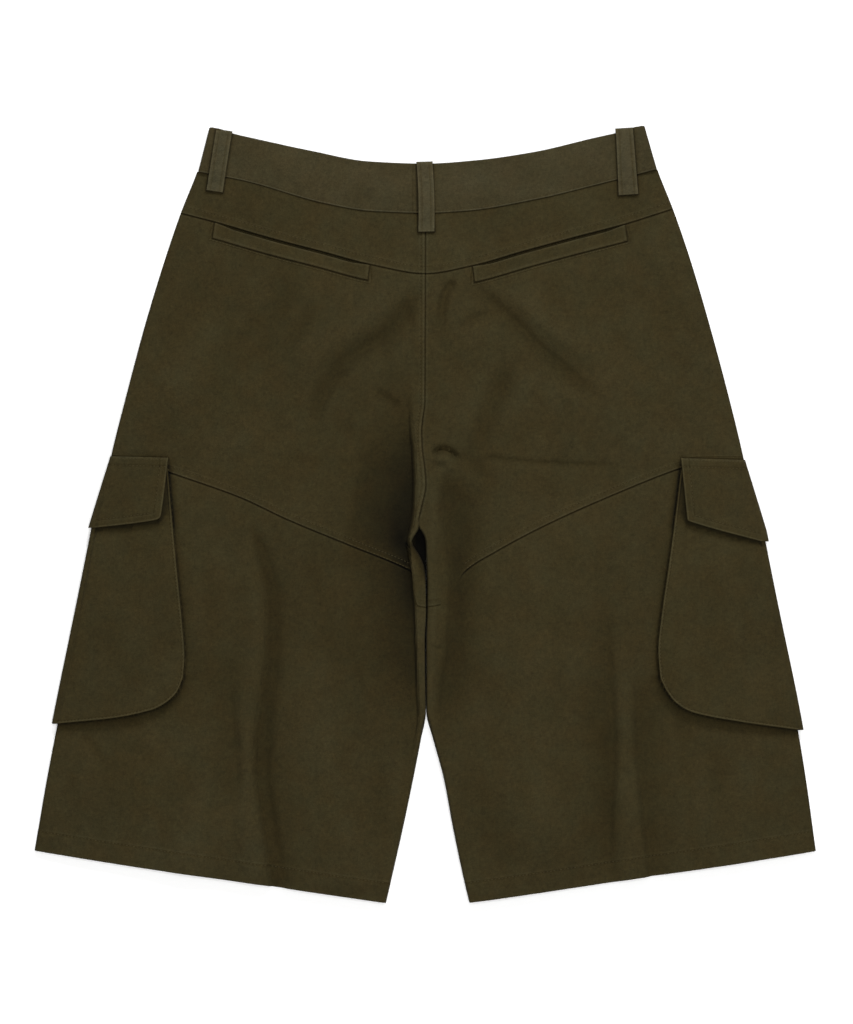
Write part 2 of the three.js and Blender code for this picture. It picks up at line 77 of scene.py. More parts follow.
class Line:
    """Smooth line through a table's rows, one column as a function of another."""

    def __init__(self, rows, key, value):
        r = sorted(rows, key=lambda q: q[key])
        self.k = np.array([q[key] for q in r], float)
        self.v = np.array([q[value] for q in r], float)
        d = np.diff(self.v) / np.diff(self.k)
        m = np.zeros_like(self.v)
        m[0], m[-1] = d[0], d[-1]
        for i in range(1, len(m) - 1):
            m[i] = 0.0 if d[i - 1] * d[i] <= 0 else 2 * d[i - 1] * d[i] / (d[i - 1] + d[i])
        self.m = m

    def __call__(self, q):
        q = np.asarray(q, float)
        i = np.clip(np.searchsorted(self.k, q, side="right") - 1, 0, len(self.k) - 2)
        h = self.k[i + 1] - self.k[i]
        t = (q - self.k[i]) / h
        tc = np.clip(t, 0, 1)
        y = (self.v[i] * (1 + 2 * tc) * (1 - tc) ** 2 + self.m[i] * h * tc * (1 - tc) ** 2
             + self.v[i + 1] * tc * tc * (3 - 2 * tc) + self.m[i + 1] * h * tc * tc * (tc - 1))
        y = np.where(t < 0, self.v[0] + self.m[0] * (q - self.k[0]), y)
        return np.where(t > 1, self.v[-1] + self.m[-1] * (q - self.k[-1]), y)


def slope(f, x, e=1.0):
    return (f(x + e) - f(x - e)) / (2 * e)


def hashed(i, j, seed):
    v = np.sin(i * 127.1 + j * 311.7 + seed * 74.7) * 43758.5453
    return v - np.floor(v)


def noise(x, y, size, seed):
    """Smooth noise from -1 to 1."""
    u, v = x / size, y / size
    i, j = np.floor(u), np.floor(v)
    fu, fv = u - i, v - j
    fu, fv = fu ** 3 * (fu * (6 * fu - 15) + 10), fv ** 3 * (fv * (6 * fv - 15) + 10)
    a, b = hashed(i, j, seed), hashed(i + 1, j, seed)
    c, d = hashed(i, j + 1, seed), hashed(i + 1, j + 1, seed)
    return 2 * mix(mix(a, b, fu), mix(c, d, fu), fv) - 1


# ---------------------------------------------------------------- outlines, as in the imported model
SIDE = [
    dict(y=362, left=-200.5, right=203.5), dict(y=325, left=-210.5, right=214.5),
    dict(y=280, left=-228.0, right=232.0), dict(y=236, left=-243.0, right=247.0),
    dict(y=180, left=-260.0, right=263.5), dict(y=106, left=-279.5, right=283.0),
    dict(y=54, left=-292.5, right=295.5), dict(y=-80, left=-319.5, right=322.5),
    dict(y=-200, left=-343.5, right=346.5), dict(y=-255, left=-354.0, right=355.5),
    dict(y=-316, left=-364.5, right=364.0),
]
INNER_BACK = [
    dict(y=340, left=0.0, right=0.0), dict(y=106, left=-0.5, right=-0.5), dict(y=76, left=-3.6, right=-3.6),
    dict(y=62, left=-3.2, right=-3.2), dict(y=43, left=-0.9, right=-0.9), dict(y=27, left=0.2, right=0.2),
    dict(y=5, left=-4.0, right=-4.0), dict(y=-8, left=-6.6, right=-6.6), dict(y=-13, left=-6.3, right=-6.0),
    dict(y=-15.5, left=-7.0, right=-4.4), dict(y=-18, left=-8.5, right=-2.8), dict(y=-21, left=-10.4, right=-1.4),
    dict(y=-24, left=-12.2, right=-0.5), dict(y=-27, left=-12.7, right=0.0), dict(y=-31, left=-10.7, right=0.2),
    dict(y=-36, left=-7.4, right=0.3), dict(y=-42, left=-4.0, right=0.5), dict(y=-50, left=-1.2, right=0.8),
    dict(y=-60, left=-0.1, right=1.3), dict(y=-70, left=0.3, right=1.6),
    dict(y=-90, left=0.7, right=1.5), dict(y=-118, left=-0.5, right=0.6), dict(y=-160, left=-0.1, right=0.8),
    dict(y=-186, left=0.3, right=1.0), dict(y=-196, left=-1.8, right=3.4), dict(y=-210, left=-4.2, right=7.0),
    dict(y=-248, left=-11.6, right=17.2), dict(y=-293, left=-21.0, right=25.6), dict(y=-345, left=-32.8, right=36.6),
    dict(y=-365, left=-37.5, right=41.5),
]
INNER_FRONT = [
    dict(y=300, left=0.5, right=0.5), dict(y=-71, left=0.5, right=0.5), dict(y=-180, left=0.5, right=0.5), dict(y=-188, left=0.2, right=1.0),
    dict(y=-210, left=-4.2, right=7.0), dict(y=-248, left=-11.6, right=17.2), dict(y=-293, left=-21.0, right=25.6),
    dict(y=-365, left=-37.5, right=41.5),
]
WAIST_BACK = [
    dict(x=-202, y=358.5), dict(x=-163, y=350), dict(x=-107, y=338), dict(x=-52, y=328), dict(x=0, y=326),
    dict(x=46, y=329), dict(x=102, y=337), dict(x=158, y=350), dict(x=205, y=360),
]
BAND_SEAM_BACK = [
    dict(x=-212, y=318.5), dict(x=-169, y=310), dict(x=-95, y=289), dict(x=-51, y=281.5), dict(x=0, y=279.5),
    dict(x=38, y=281.5), dict(x=103, y=292.5), dict(x=178, y=311), dict(x=216, y=321),
]
YOKE_SEAM = [
    dict(x=-228, y=279.5), dict(x=-194, y=270.5), dict(x=-139, y=254.5), dict(x=-95, y=243), dict(x=-52, y=231.5),
    dict(x=0, y=222.7), dict(x=43, y=230), dict(x=94, y=244.5), dict(x=138, y=256.5), dict(x=187, y=269.5),
    dict(x=232, y=284),
]
SLANT_LEFT = [
    dict(x=-293, y=48.0), dict(x=-254, y=43.6), dict(x=-238, y=38), dict(x=-173, y=15), dict(x=-128, y=-6), dict(x=-70, y=-30),
    dict(x=-19, y=-51), dict(x=-13.0, y=-54.5), dict(x=-11.0, y=-66), dict(x=-9.4, y=-82), dict(x=-6.5, y=-86.4), dict(x=0.5, y=-87.4),
]
SLANT_RIGHT = [
    dict(x=2, y=-87), dict(x=13.5, y=-85), dict(x=26.5, y=-71), dict(x=36, y=-55), dict(x=65, y=-36),
    dict(x=111, y=-11.5), dict(x=158, y=10), dict(x=236, y=41.5), dict(x=252, y=46.4), dict(x=296, y=47.0),
]
HEM_LEFT = [dict(x=-364.5, y=-314), dict(x=-271, y=-328.8), dict(x=-159.5, y=-344.8), dict(x=-37, y=-362.6)]
HEM_RIGHT = [
    dict(x=41, y=-362.2), dict(x=69, y=-358.5), dict(x=181, y=-342), dict(x=292.5, y=-325.7), dict(x=364, y=-314.4),
]
WAIST_FRONT = [
    dict(x=-202, y=358.5), dict(x=-150, y=334), dict(x=-100, y=315), dict(x=-50, y=302), dict(x=0, y=297),
    dict(x=50, y=302), dict(x=100, y=315), dict(x=150, y=334.5), dict(x=205, y=360),
]
BAND_SEAM_FRONT = [
    dict(x=-212, y=318.5), dict(x=-150, y=290), dict(x=-100, y=270), dict(x=-50, y=257), dict(x=0, y=252),
    dict(x=50, y=257), dict(x=100, y=270), dict(x=150, y=291), dict(x=216, y=321),
]

side = {k: Line(SIDE, "y", k) for k in ("left", "right")}
inner_back = {k: Line(INNER_BACK, "y", k) for k in ("left", "right")}
inner_front = {k: Line(INNER_FRONT, "y", k) for k in ("left", "right")}
waist_back = Line(WAIST_BACK, "x", "y")
band_seam = Line(BAND_SEAM_BACK, "x", "y")
yoke_seam = Line(YOKE_SEAM, "x", "y")
slant = {"left": Line(SLANT_LEFT, "x", "y"), "right": Line(SLANT_RIGHT, "x", "y")}
hem = {"left": Line(HEM_LEFT, "x", "y"), "right": Line(HEM_RIGHT, "x", "y")}
waist_front = Line(WAIST_FRONT, "x", "y")
band_seam_front = Line(BAND_SEAM_FRONT, "x", "y")


def inward(x, y):
    return np.where(x < 0, x - side["left"](y), side["right"](y) - x)


def slant_at(x):
    return np.where(x < 1, slant["left"](x), slant["right"](x))


def hem_at(x):
    return np.where(x < 1, hem["left"](x), hem["right"](x))


POCKET_EDGE = {
    "left": [dict(y=40, x=-238.5), dict(y=-3, x=-235), dict(y=-56, x=-230), dict(y=-101, x=-225.5), dict(y=-133, x=-223.3),
             dict(y=-151, x=-224.5), dict(y=-158, x=-226.6), dict(y=-165, x=-230), dict(y=-185, x=-243)],
    "right": [dict(y=40, x=236.5), dict(y=-3, x=231.5), dict(y=-47, x=225.5), dict(y=-92, x=219), dict(y=-127, x=215.5),
              dict(y=-152, x=217.5), dict(y=-160, x=220.5), dict(y=-168, x=225.5), dict(y=-187, x=240)],
}
POCKET_FOOT = {
    "left": [dict(x=-352, y=-196.6), dict(x=-327, y=-194), dict(x=-288, y=-189.8), dict(x=-254, y=-182.5),
             dict(x=-246, y=-179), dict(x=-240, y=-175.2), dict(x=-234, y=-170), dict(x=-230, y=-165), dict(x=-224, y=-150)],
    "right": [dict(x=218, y=-154), dict(x=225.5, y=-168.5), dict(x=232, y=-175.5), dict(x=239.5, y=-181),
              dict(x=249, y=-185), dict(x=261, y=-188), dict(x=291, y=-193.3), dict(x=352, y=-202.2)],
}
FLAP_EDGE = {
    "left": [dict(y=54, x=-238), dict(y=-3, x=-245), dict(y=-20, x=-249)],
    "right": [dict(y=54, x=236.5), dict(y=-7, x=242.5), dict(y=-20, x=244)],
}
FLAP_TOP = {
    "left": [dict(x=-296, y=53.5), dict(x=-238, y=51.8)],
    "right": [dict(x=236, y=51.5), dict(x=299, y=49.8)],
}
FLAP_FOOT = {
    "left": [dict(x=-316, y=-14.5), dict(x=-253, y=-6.8), dict(x=-247.5, y=-5.2), dict(x=-243, y=0.5)],
    "right": [dict(x=240, y=-2.0), dict(x=243, y=-6.6), dict(x=248, y=-8.6), dict(x=321, y=-28.5)],
}


POCKET_LINES, FLAP_LINES = {}, {}
for _key in ("left", "right"):
    POCKET_LINES[_key] = (Line(POCKET_EDGE[_key], "y", "x"), Line(POCKET_FOOT[_key], "x", "y"))
    FLAP_LINES[_key] = (Line(FLAP_EDGE[_key], "y", "x"), Line(FLAP_TOP[_key], "x", "y"), Line(FLAP_FOOT[_key], "x", "y"))


def free_edge(x, y, key):
    """Distance inside the pocket's free edge."""
    e, f = POCKET_LINES[key]
    s = -1 if key == "left" else 1
    de = (x - e(y)) * s / np.sqrt(1 + slope(e, y) ** 2)
    df = (y - f(x)) / np.sqrt(1 + slope(f, x) ** 2)
    return np.minimum(de, df), de, df


# ---------------------------------------------------------------- folds
# path: places in the picture frame. rise: height in mm, negative for a trough.
# a and b: half widths in mm on the left hand and the right hand of someone going along the path
# (going down the picture, a is on the picture's right). fade: share of the length that fades in and out.
FOLDS = [
    # seat, beside the raised centre seam
    dict(name="right_crest", path=[(433, 468), (433, 500), (433, 545), (434, 590), (433, 640), (430, 690), (433, 730)],
         rise=1.9, a=4.6, b=6.5, fade=(0.3, 0.2)),
    dict(name="right_trough", path=[(442, 470), (448, 486), (450, 510), (454, 545), (457, 575), (456, 610), (453, 650), (447, 690), (444, 720), (450, 765)],
         rise=-7.4, a=20.0, b=7.0, p=1.3, fade=(0.2, 0.25)),
    dict(name="arch", path=[(431, 457), (435, 451.5), (441, 448.5), (449, 450), (457, 456), (462, 464)], rise=-4.8, a=1.9,
         b=3.4, fade=(0.25, 0.3)),
    dict(name="arch_ridge", path=[(434, 466), (438, 460), (444, 458.5), (449, 464), (448, 486)], rise=3.4, a=4.0, b=5.0,
         fade=(0.3, 0.4)),
    dict(name="arch_arm", path=[(458, 455), (470, 464), (484, 480), (496, 502)], rise=-2.2, a=9.0, b=5.5, fade=(0.2, 0.5)),
    dict(name="fork_pinch", path=[(431, 556), (434, 580), (432, 600)], rise=-1.1, a=3.5, b=2.0, fade=(0.4, 0.4)),
    dict(name="thigh_nick", path=[(431, 644), (436, 649), (444, 649)], rise=-1.1, a=2.2, b=2.2, fade=(0.3, 0.3)),
    dict(name="centre_nick", path=[(405, 443), (410, 446), (417, 446)], rise=-1.4, a=2.0, b=3.0, fade=(0.4, 0.3)),
    # drag lines from the fork to the hips
    dict(name="hip_l1", path=[(418, 284), (409, 304), (400, 322), (382, 338), (353, 357), (332, 380), (319, 404), (314, 430), (308, 456)],
         rise=-4.3, a=6.5, b=8.0, p=2.0, fade=(0.18, 0.3)),
    dict(name="hip_l1_crest", path=[(404, 282), (382, 306), (352, 332), (322, 350), (306, 374), (296, 410)],
         rise=2.6, a=10.0, b=16.0, fade=(0.25, 0.35)),
    dict(name="hip_l2_crest", path=[(424, 316), (410, 340), (388, 366), (352, 392)], rise=1.9, a=15.0, b=9.0, fade=(0.3, 0.4)),
    dict(name="hip_l3", path=[(372, 390), (386, 399), (404, 411)], rise=-2.4, a=5.0, b=6.0, fade=(0.3, 0.3)),
    dict(name="hip_l4", path=[(300, 262), (280, 300), (268, 350), (262, 390)], rise=-1.5, a=13.0, b=15.0, fade=(0.4, 0.4)),
    dict(name="hip_l5", path=[(232, 300), (224, 350), (222, 410)], rise=-1.0, a=16.0, b=14.0, fade=(0.4, 0.4)),
    dict(name="hip_l6_crest", path=[(204, 300), (186, 360), (170, 420)], rise=1.6, a=20.0, b=16.0, fade=(0.3, 0.4)),
    dict(name="hip_l7", path=[(330, 420), (352, 436), (372, 442)], rise=-0.9, a=8.0, b=7.0, fade=(0.4, 0.4)),
    dict(name="seat_pucker_r", path=[(458, 281), (448, 288), (443, 302), (441, 322), (440, 344)], rise=-3.6, a=4.4, b=4.0, fade=(0.2, 0.5)),
    dict(name="hip_r1", path=[(466, 282), (484, 295), (501, 311), (520, 329), (543, 352), (566, 372), (590, 393), (616, 408)],
         rise=-3.9, a=6.0, b=9.0, p=2.0, fade=(0.25, 0.3)),
    dict(name="hip_r1_crest", path=[(500, 286), (528, 309), (552, 331), (580, 354), (606, 376)], rise=2.6, a=14.0, b=7.0,
         fade=(0.25, 0.35)),
    dict(name="hip_r1_branch", path=[(452, 330), (468, 322), (486, 316), (500, 317)], rise=-1.9, a=4.5, b=6.0, fade=(0.3, 0.35)),
    dict(name="hip_l1_seam", path=[(413, 306), (410, 340), (409, 372)], rise=-1.5, a=4.0, b=5.0, fade=(0.3, 0.5)),
    dict(name="hip_l8", path=[(268, 300), (250, 330), (228, 352)], rise=-1.3, a=8.0, b=8.0, fade=(0.4, 0.4)),
    dict(name="hip_l9", path=[(318, 312), (296, 336), (280, 362)], rise=-1.4, a=7.0, b=8.0, fade=(0.4, 0.4)),
    dict(name="hip_r4", path=[(600, 330), (626, 352), (648, 380)], rise=-1.2, a=8.0, b=9.0, fade=(0.4, 0.4)),
    dict(name="hip_r0_crest", path=[(458, 296), (470, 330), (474, 368)], rise=1.8, a=17.0, b=15.0, fade=(0.35, 0.4)),
    dict(name="hip_r2", path=[(514, 346), (508, 364), (500, 386), (492, 406), (483, 430), (472, 456), (464, 474)], rise=-4.2, a=9.0, b=9.5,
         p=2.0, fade=(0.4, 0.35)),
    dict(name="hip_r2_crest", path=[(530, 366), (522, 392), (510, 418), (498, 446)], rise=1.6, a=10.0, b=8.0,
         fade=(0.3, 0.3)),
    dict(name="hip_r3", path=[(560, 394), (567, 412), (564, 434)], rise=-1.4, a=6.0, b=6.0, fade=(0.4, 0.4)),
    dict(name="seat_crease_r", path=[(478, 456), (506, 460), (540, 463), (584, 465), (626, 466)], rise=-1.7, a=2.4, b=4.0,
         fade=(0.14, 0.25)),
    dict(name="seat_crease_l", path=[(250, 452), (300, 462), (346, 466)], rise=-0.8, a=5.0, b=7.0, fade=(0.4, 0.4)),
    # left leg
    dict(name="leg_l1", path=[(250, 524), (256, 545), (263, 570), (269, 596), (270, 625), (268, 665), (263, 705), (259, 740), (258, 775), (264, 820), (269, 850), (275, 900)],
         rise=-4.0, a=8.0, b=2.6, fade=(0.12, 0.06)),
    dict(name="leg_l1_wide", path=[(250, 524), (256, 545), (263, 570), (269, 596), (270, 625), (268, 665), (263, 705), (259, 740), (258, 775), (264, 820), (269, 850), (275, 900)],
         rise=-3.2, a=24.0, b=3.2, p=1.35, fade=(0.34, 0.06)),
    dict(name="leg_l1_low", path=[(261, 680), (259, 735), (258, 775), (265, 820), (269, 850), (275, 900)],
         rise=-3.4, a=12.0, b=2.8, fade=(0.3, 0.05)),
    dict(name="leg_l1_crest", path=[(240, 540), (248, 575), (255, 620), (254, 660), (248, 710), (245, 780), (252, 840), (259, 898)],
         rise=2.3, a=6.5, b=12.0, fade=(0.2, 0.08)),
    dict(name="leg_l2", path=[(226, 640), (230, 700), (234, 740), (236, 775), (238, 815)], rise=-2.6, a=5.5, b=13.0,
         p=1.5, fade=(0.3, 0.3)),
    dict(name="leg_l3_crest", path=[(304, 620), (304, 700), (326, 780), (346, 860), (350, 898)], rise=2.6, a=30.0, b=24.0,
         fade=(0.3, 0.12)),
    dict(name="leg_l4", path=[(338, 600), (332, 650), (334, 700)], rise=-1.2, a=14.0, b=14.0, fade=(0.4, 0.4)),
    dict(name="leg_l5", path=[(208, 560), (212, 610), (210, 660)], rise=-1.2, a=10.0, b=12.0, fade=(0.4, 0.4)),
    dict(name="leg_l6_crest", path=[(206, 690), (196, 770), (186, 860), (184, 892)], rise=1.8, a=22.0, b=22.0, fade=(0.4, 0.12)),
    dict(name="leg_l6", path=[(190, 742), (180, 790), (170, 840)], rise=-1.4, a=9.0, b=11.0, fade=(0.4, 0.4)),
    dict(name="leg_l7", path=[(80, 734), (94, 750), (108, 776)], rise=-1.6, a=6.0, b=5.0, fade=(0.2, 0.5)),
    dict(name="leg_l8", path=[(118, 744), (146, 758), (176, 762)], rise=-1.1, a=8.0, b=8.0, fade=(0.3, 0.5)),
    dict(name="leg_l9", path=[(392, 752), (380, 800), (372, 850)], rise=-1.4, a=9.0, b=9.0, fade=(0.3, 0.3)),
    # right leg
    dict(name="leg_r1", path=[(602, 560), (604, 600), (606, 640), (608, 700), (610, 740), (609, 775), (608, 820), (609, 860), (610, 897)],
         rise=-6.0, a=6.2, b=15.0, p=1.3, fade=(0.5, 0.3)),
    dict(name="leg_r2_crest", path=[(624, 600), (624, 680), (624, 760), (626, 850), (628, 890)], rise=1.2, a=7.0, b=8.0,
         fade=(0.3, 0.08)),
    dict(name="leg_r2", path=[(638, 660), (640, 710), (642, 760), (646, 810), (650, 850), (654, 892)], rise=-4.7, a=18.0, b=5.2,
         p=1.4, fade=(0.25, 0.1)),
    dict(name="leg_r1_crest", path=[(520, 600), (530, 680), (528, 760), (556, 870)], rise=2.2, a=26.0, b=28.0,
         fade=(0.3, 0.15)),
    dict(name="leg_r3", path=[(780, 798), (792, 794), (806, 791)], rise=-1.4, a=2.6, b=3.6, fade=(0.3, 0.3)),
    dict(name="leg_r4", path=[(700, 742), (716, 770), (722, 820)], rise=-1.2, a=13.0, b=11.0, fade=(0.3, 0.4)),
    dict(name="leg_r5", path=[(462, 770), (486, 820), (508, 880)], rise=-1.6, a=16.0, b=12.0, fade=(0.3, 0.15)),
    dict(name="leg_r6", path=[(560, 560), (556, 610), (566, 660)], rise=-1.1, a=13.0, b=13.0, fade=(0.4, 0.4)),
    dict(name="leg_r7", path=[(742, 752), (760, 790), (764, 850)], rise=1.2, a=16.0, b=16.0, fade=(0.3, 0.3)),
    dict(name="leg_r8", path=[(668, 720), (684, 736), (700, 742)], rise=-1.1, a=8.0, b=7.0, fade=(0.3, 0.4)),
]
# left edge of the ridge beside the seat seam and the inner leg: y and x in the picture frame
RIDGE_EDGE = Line([dict(y=P(0, a)[1], x=P(b, 0)[0]) for a, b in (
    (380, 411), (430, 413), (455, 415), (480, 415.5), (505, 415), (525, 413), (540, 409.5), (556, 410.5), (573, 413),
    (592, 414.5), (610, 416), (640, 417), (660, 418), (690, 419), (715, 420), (760, 412))], "y", "x")
# depth of the valley left of that edge, and its width
VALLEY_DEPTH = Line([dict(y=P(0, a)[1], d=b) for a, b in (
    (370, 0.0), (400, 1.4), (430, 4.2), (455, 7.4), (480, 9.6), (520, 10.8), (560, 10.8), (600, 9.6), (640, 7.6),
    (680, 5.6), (710, 3.9), (740, 1.8), (775, 0.0), (820, 0.0))], "y", "d")
VALLEY_WIDTH = Line([dict(y=P(0, a)[1], d=b) for a, b in (
    (370, 24), (415, 40), (450, 56), (495, 60), (575, 70), (635, 73), (700, 54), (775, 30))], "y", "d")


def valley(x, y):
    """Depth of the seat valley at each point, in mm, and the painted shade laid into its colour, which grows with the
    valley's depth.
    """
    d = RIDGE_EDGE(y) - x
    w = np.maximum(VALLEY_WIDTH(y), 10)
    t = np.clip((w - d) / (w - 7.0), 0, 1)
    bank = t * (0.45 + 0.55 * t)
    soft_wall = ease((y + 30) / 30)
    wall = ease((d + mix(0.4, 2.2, soft_wall)) / mix(2.6, 6.6, soft_wall))
    on = (x < inner_back["left"](y) + 0.4) & (y < 140) & (y > -270)
    depth = np.maximum(VALLEY_DEPTH(np.clip(y, -280, 135)), 0)
    early = 1 - 0.7 * ease((-10 - y) / 60)
    upper = ease((y + 36) / 42)
    # painted shade in the valley, strongest deep down and near the raised edge
    valley_painted_shade = (0.13 * ease(t / 0.16) * early + mix(0.24, 0.46, upper) * t + mix(0.50, 0.26, upper) * t ** 2.6) * ease((d + mix(0.6, 1.6, soft_wall)) / mix(2.6, 4.5, soft_wall)) * depth / 11.5
    return np.where(on, depth * bank * wall, 0.0), np.where(on, valley_painted_shade, 0.0)


def ridge(x, y):
    """Raised strip between the valley and the leg's inner edge."""
    on = (x < inner_back["left"](y) + 0.4) & (y < 140) & (y > -270)
    d = RIDGE_EDGE(y) - x
    return np.where(on, 0.36 * np.maximum(VALLEY_DEPTH(np.clip(y, -280, 135)), 0) * (1 - ease((d - 0.2) / 3.2)), 0.0)


# folds of the cargo pockets' own cloth
POCKET_FOLDS = [
    dict(name="pocket_r1", path=[(694, 560), (692, 600), (690, 646)], rise=-0.7, a=5.0, b=4.0, fade=(0.3, 0.4)),
    dict(name="pocket_r2", path=[(730, 600), (742, 640), (748, 700)], rise=0.6, a=16.0, b=14.0, fade=(0.4, 0.4)),
    dict(name="pocket_l1", path=[(140, 560), (136, 610), (142, 670)], rise=-0.5, a=9.0, b=9.0, fade=(0.4, 0.4)),
    dict(name="pocket_l2", path=[(104, 570), (96, 630), (92, 690)], rise=0.5, a=12.0, b=12.0, fade=(0.4, 0.4)),
    dict(name="pocket_l3", path=[(70, 690), (88, 694), (104, 690)], rise=-0.4, a=6.0, b=6.0, fade=(0.4, 0.4)),
]


def smooth_path(points, per=7):
    """Points on a smooth line through the given places."""
    p = np.array([P(*q) for q in points])
    q = np.vstack([2 * p[0] - p[1], p, 2 * p[-1] - p[-2]])
    out = []
    for i in range(1, len(q) - 2):
        for t in np.linspace(0, 1, per, endpoint=False):
            a, b, c, d = q[i - 1], q[i], q[i + 1], q[i + 2]
            out.append(0.5 * (2 * b + (c - a) * t + (2 * a - 5 * b + 4 * c - d) * t * t + (3 * b - a - 3 * c + d) * t ** 3))
    out.append(q[-2])
    return np.array(out)


def folds(x, y, table):
    """Sum of the folds' heights at each point."""
    shape = x.shape
    x, y = x.ravel(), y.ravel()
    total = np.zeros(len(x))
    for f in table:
        p = smooth_path(f["path"])
        reach = 3.0 * max(f["a"], f["b"])
        near = np.nonzero((x > p[:, 0].min() - reach) & (x < p[:, 0].max() + reach)
                          & (y > p[:, 1].min() - reach) & (y < p[:, 1].max() + reach))[0]
        if not len(near):
            continue
        qx, qy = x[near], y[near]
        best = np.full(len(near), 1e9)
        sign, at = np.zeros(len(near)), np.zeros(len(near))
        n = len(p) - 1
        for i in range(n):
            dx, dy = p[i + 1] - p[i]
            l2 = dx * dx + dy * dy
            t = ((qx - p[i, 0]) * dx + (qy - p[i, 1]) * dy) / l2
            tc = np.clip(t, 0, 1)
            ox, oy = qx - p[i, 0] - tc * dx, qy - p[i, 1] - tc * dy
            d = np.hypot(ox, oy)
            closer = d < best
            best = np.where(closer, d, best)
            sign = np.where(closer, dx * oy - dy * ox, sign)
            at = np.where(closer, (i + tc) / n, at)
        width = np.where(sign > 0, f["a"], f["b"])
        power = np.where(width > 10, f.get("p", 2.0), 2.0)
        f0, f1 = f["fade"]
        taper = ease(at / f0) * ease((1 - at) / f1)
        total[near] += f["rise"] * taper * np.exp(-(best / width) ** power)
    return total.reshape(shape)


# ---------------------------------------------------------------- heights
CROTCH_Y = -12.0


def flap_lift(y):
    return 2.1 * ease((y + 135) / 95)


def under(x, y):
    """Underside of the front over the surface, raised where it lies on other pieces."""
    away = np.maximum(inward(x, y) - 124, -200 - y)
    over = (1 - ease((away - 30) / 70)) * (1 - ease((y - 86) / 130))
    lift = over * (1.9 + flap_lift(y))
    ax = np.abs(x)
    across = 1.9 * (1 - ease((ax - 130) / 42)) + 1.6 * (1 - ease((ax - 26) / 36))
    along = ease((y - band_seam_front(x) + 150) / 128) * (1 - ease((y - waist_front(x)) / 26))
    return lift + across * along


def lump(x, y):
    """Gentle unevenness of lying cloth."""
    return (0.9 * noise(x + 13, y - 7, 74, 1) + 0.62 * noise(x * 1.2, y * 0.7 + 9, 34, 2)
            + 0.24 * noise(x, y, 15, 3) + 0.055 * noise(x, y * 0.8, 6.5, 4) + 0.17 * crumple(x, y))


def crumple(x, y):
    """Faint drag wrinkles, slanting to the hips above the fork and running down the legs below it."""
    r = math.sqrt(0.5)
    p, q = (x - y) * r, (x + y) * r
    left = noise(p, q * 0.30, 9.5, 91) + 0.6 * noise(p + 0.2 * q, q * 0.4, 16.0, 92)
    right = noise(q, p * 0.30, 9.5, 93) + 0.6 * noise(q - 0.2 * p, p * 0.4, 16.0, 94)
    legs = noise(x + 0.1 * y, y * 0.22, 11.0, 95) + 0.6 * noise(x, y * 0.4, 19.0, 96)
    seat = mix(left, right, ease((x + 25) / 50))
    return 0.62 * mix(legs, seat, ease((y + 70) / 90)) + 0.35 * noise(x * 1.1, y, 6.0, 97)


def across_seam(f, x, y):
    """Signed distance from the seam y = f(x), positive above it."""
    s = slope(f, x)
    return (y - f(x)) / np.sqrt(1 + s * s)


def pucker(along, d, wave, size, reach, seed):
    """Small ripples beside a row of stitches."""
    w = along / wave
    r = np.sin(2 * np.pi * w + 2.2 * noise(along, d * 0 + 3, wave * 2.3, seed)) * (0.6 + 0.4 * noise(along, d * 0, wave * 4, seed + 1))
    return size * r * np.exp(-(d / reach) ** 2)


def seam_relief(d, stitch, high=0.55, groove=0.7):
    """Profile across a seam: cloth above it is raised up to its stitch line."""
    z = high * np.where(d > 0, (1 - ease((d - stitch) / 1.6)), 0) * roll(d / 0.9)
    z = z - 0.36 * np.exp(-((d - stitch) / 0.5) ** 2)
    z = z - groove * np.exp(-(d / np.where(d > 0, 0.55, 0.9)) ** 2)
    return z


YOKE_STITCH, SLANT_STITCH, CB_STITCH = 6.9, 5.9, 4.0
POCKET_MOUTHS = {
    "left": dict(x0=-194.0, x1=-51.5), "right": dict(x0=43.5, x1=186.0),
}


def mouth(x):
    """0 outside the back pockets' openings, 1 in their middle."""
    m = np.zeros_like(x)
    for r in POCKET_MOUTHS.values():
        t = (x - r["x0"]) / (r["x1"] - r["x0"])
        m = np.maximum(m, ease(t / 0.14) * ease((1 - t) / 0.14) * ((t > 0) & (t < 1)))
    return m


def relief(x, y):
    """Seams, stitch lines and puckers of the back panels."""
    z = np.zeros_like(x)
    d = across_seam(yoke_seam, x, y)
    z += seam_relief(d, YOKE_STITCH, 0.5, 0.75) * (np.abs(d) < 25)
    z += pucker(x, d - 6, 9.5, 0.13, 8, 11)
    m = mouth(x)
    z -= m * 2.6 * np.exp(-(np.minimum(d + 1.2, 0) / 1.5) ** 2) * (d < 0.6) * (1 - ease((d + 0.2) / 0.8))
    z += m * 0.7 * (d > 0) * np.exp(-(d / 7) ** 2)
    keep = ease((toinner(x, y) - 0.2) / 3)
    d = across_seam(slant_at, x, y)
    fork = np.where(x < -9, mix(0.12, 1.0, ease((-11 - x) / 5)), np.where(x < 14, 0.5, mix(0.06, 1.0, ease((x - 31) / 7))))
    z += seam_relief(d, SLANT_STITCH, 0.5, 0.75) * (np.abs(d) < 25) * fork
    z += pucker(x, d - 5, 10.5, 0.14, 8, 21)
    # centre back: the left side is raised to its stitch line
    b = inner_back["left"](y)
    d = b - x
    on = ease((y + 8) / 6)
    z += on * (seam_relief(d, CB_STITCH, 0.45, 0.7) * (np.abs(d) < 25) + pucker(y, d - 3, 8.5, 0.12, 7, 31))
    # hem
    d = y - hem_at(x)
    z += 0.35 * (1 - ease((d - HEM_HEIGHT) / 2.0)) - 0.32 * np.exp(-((d - HEM_HEIGHT) / 0.7) ** 2)
    diag = x + 0.8 * d
    z += pucker(diag, d - 13, 12.0, 0.24, 9, 41)
    return z


def toinner(x, y):
    return np.where(x < inner_back["left"](y) + 0.4, inner_back["left"](y) - x, x - inner_back["right"](y))


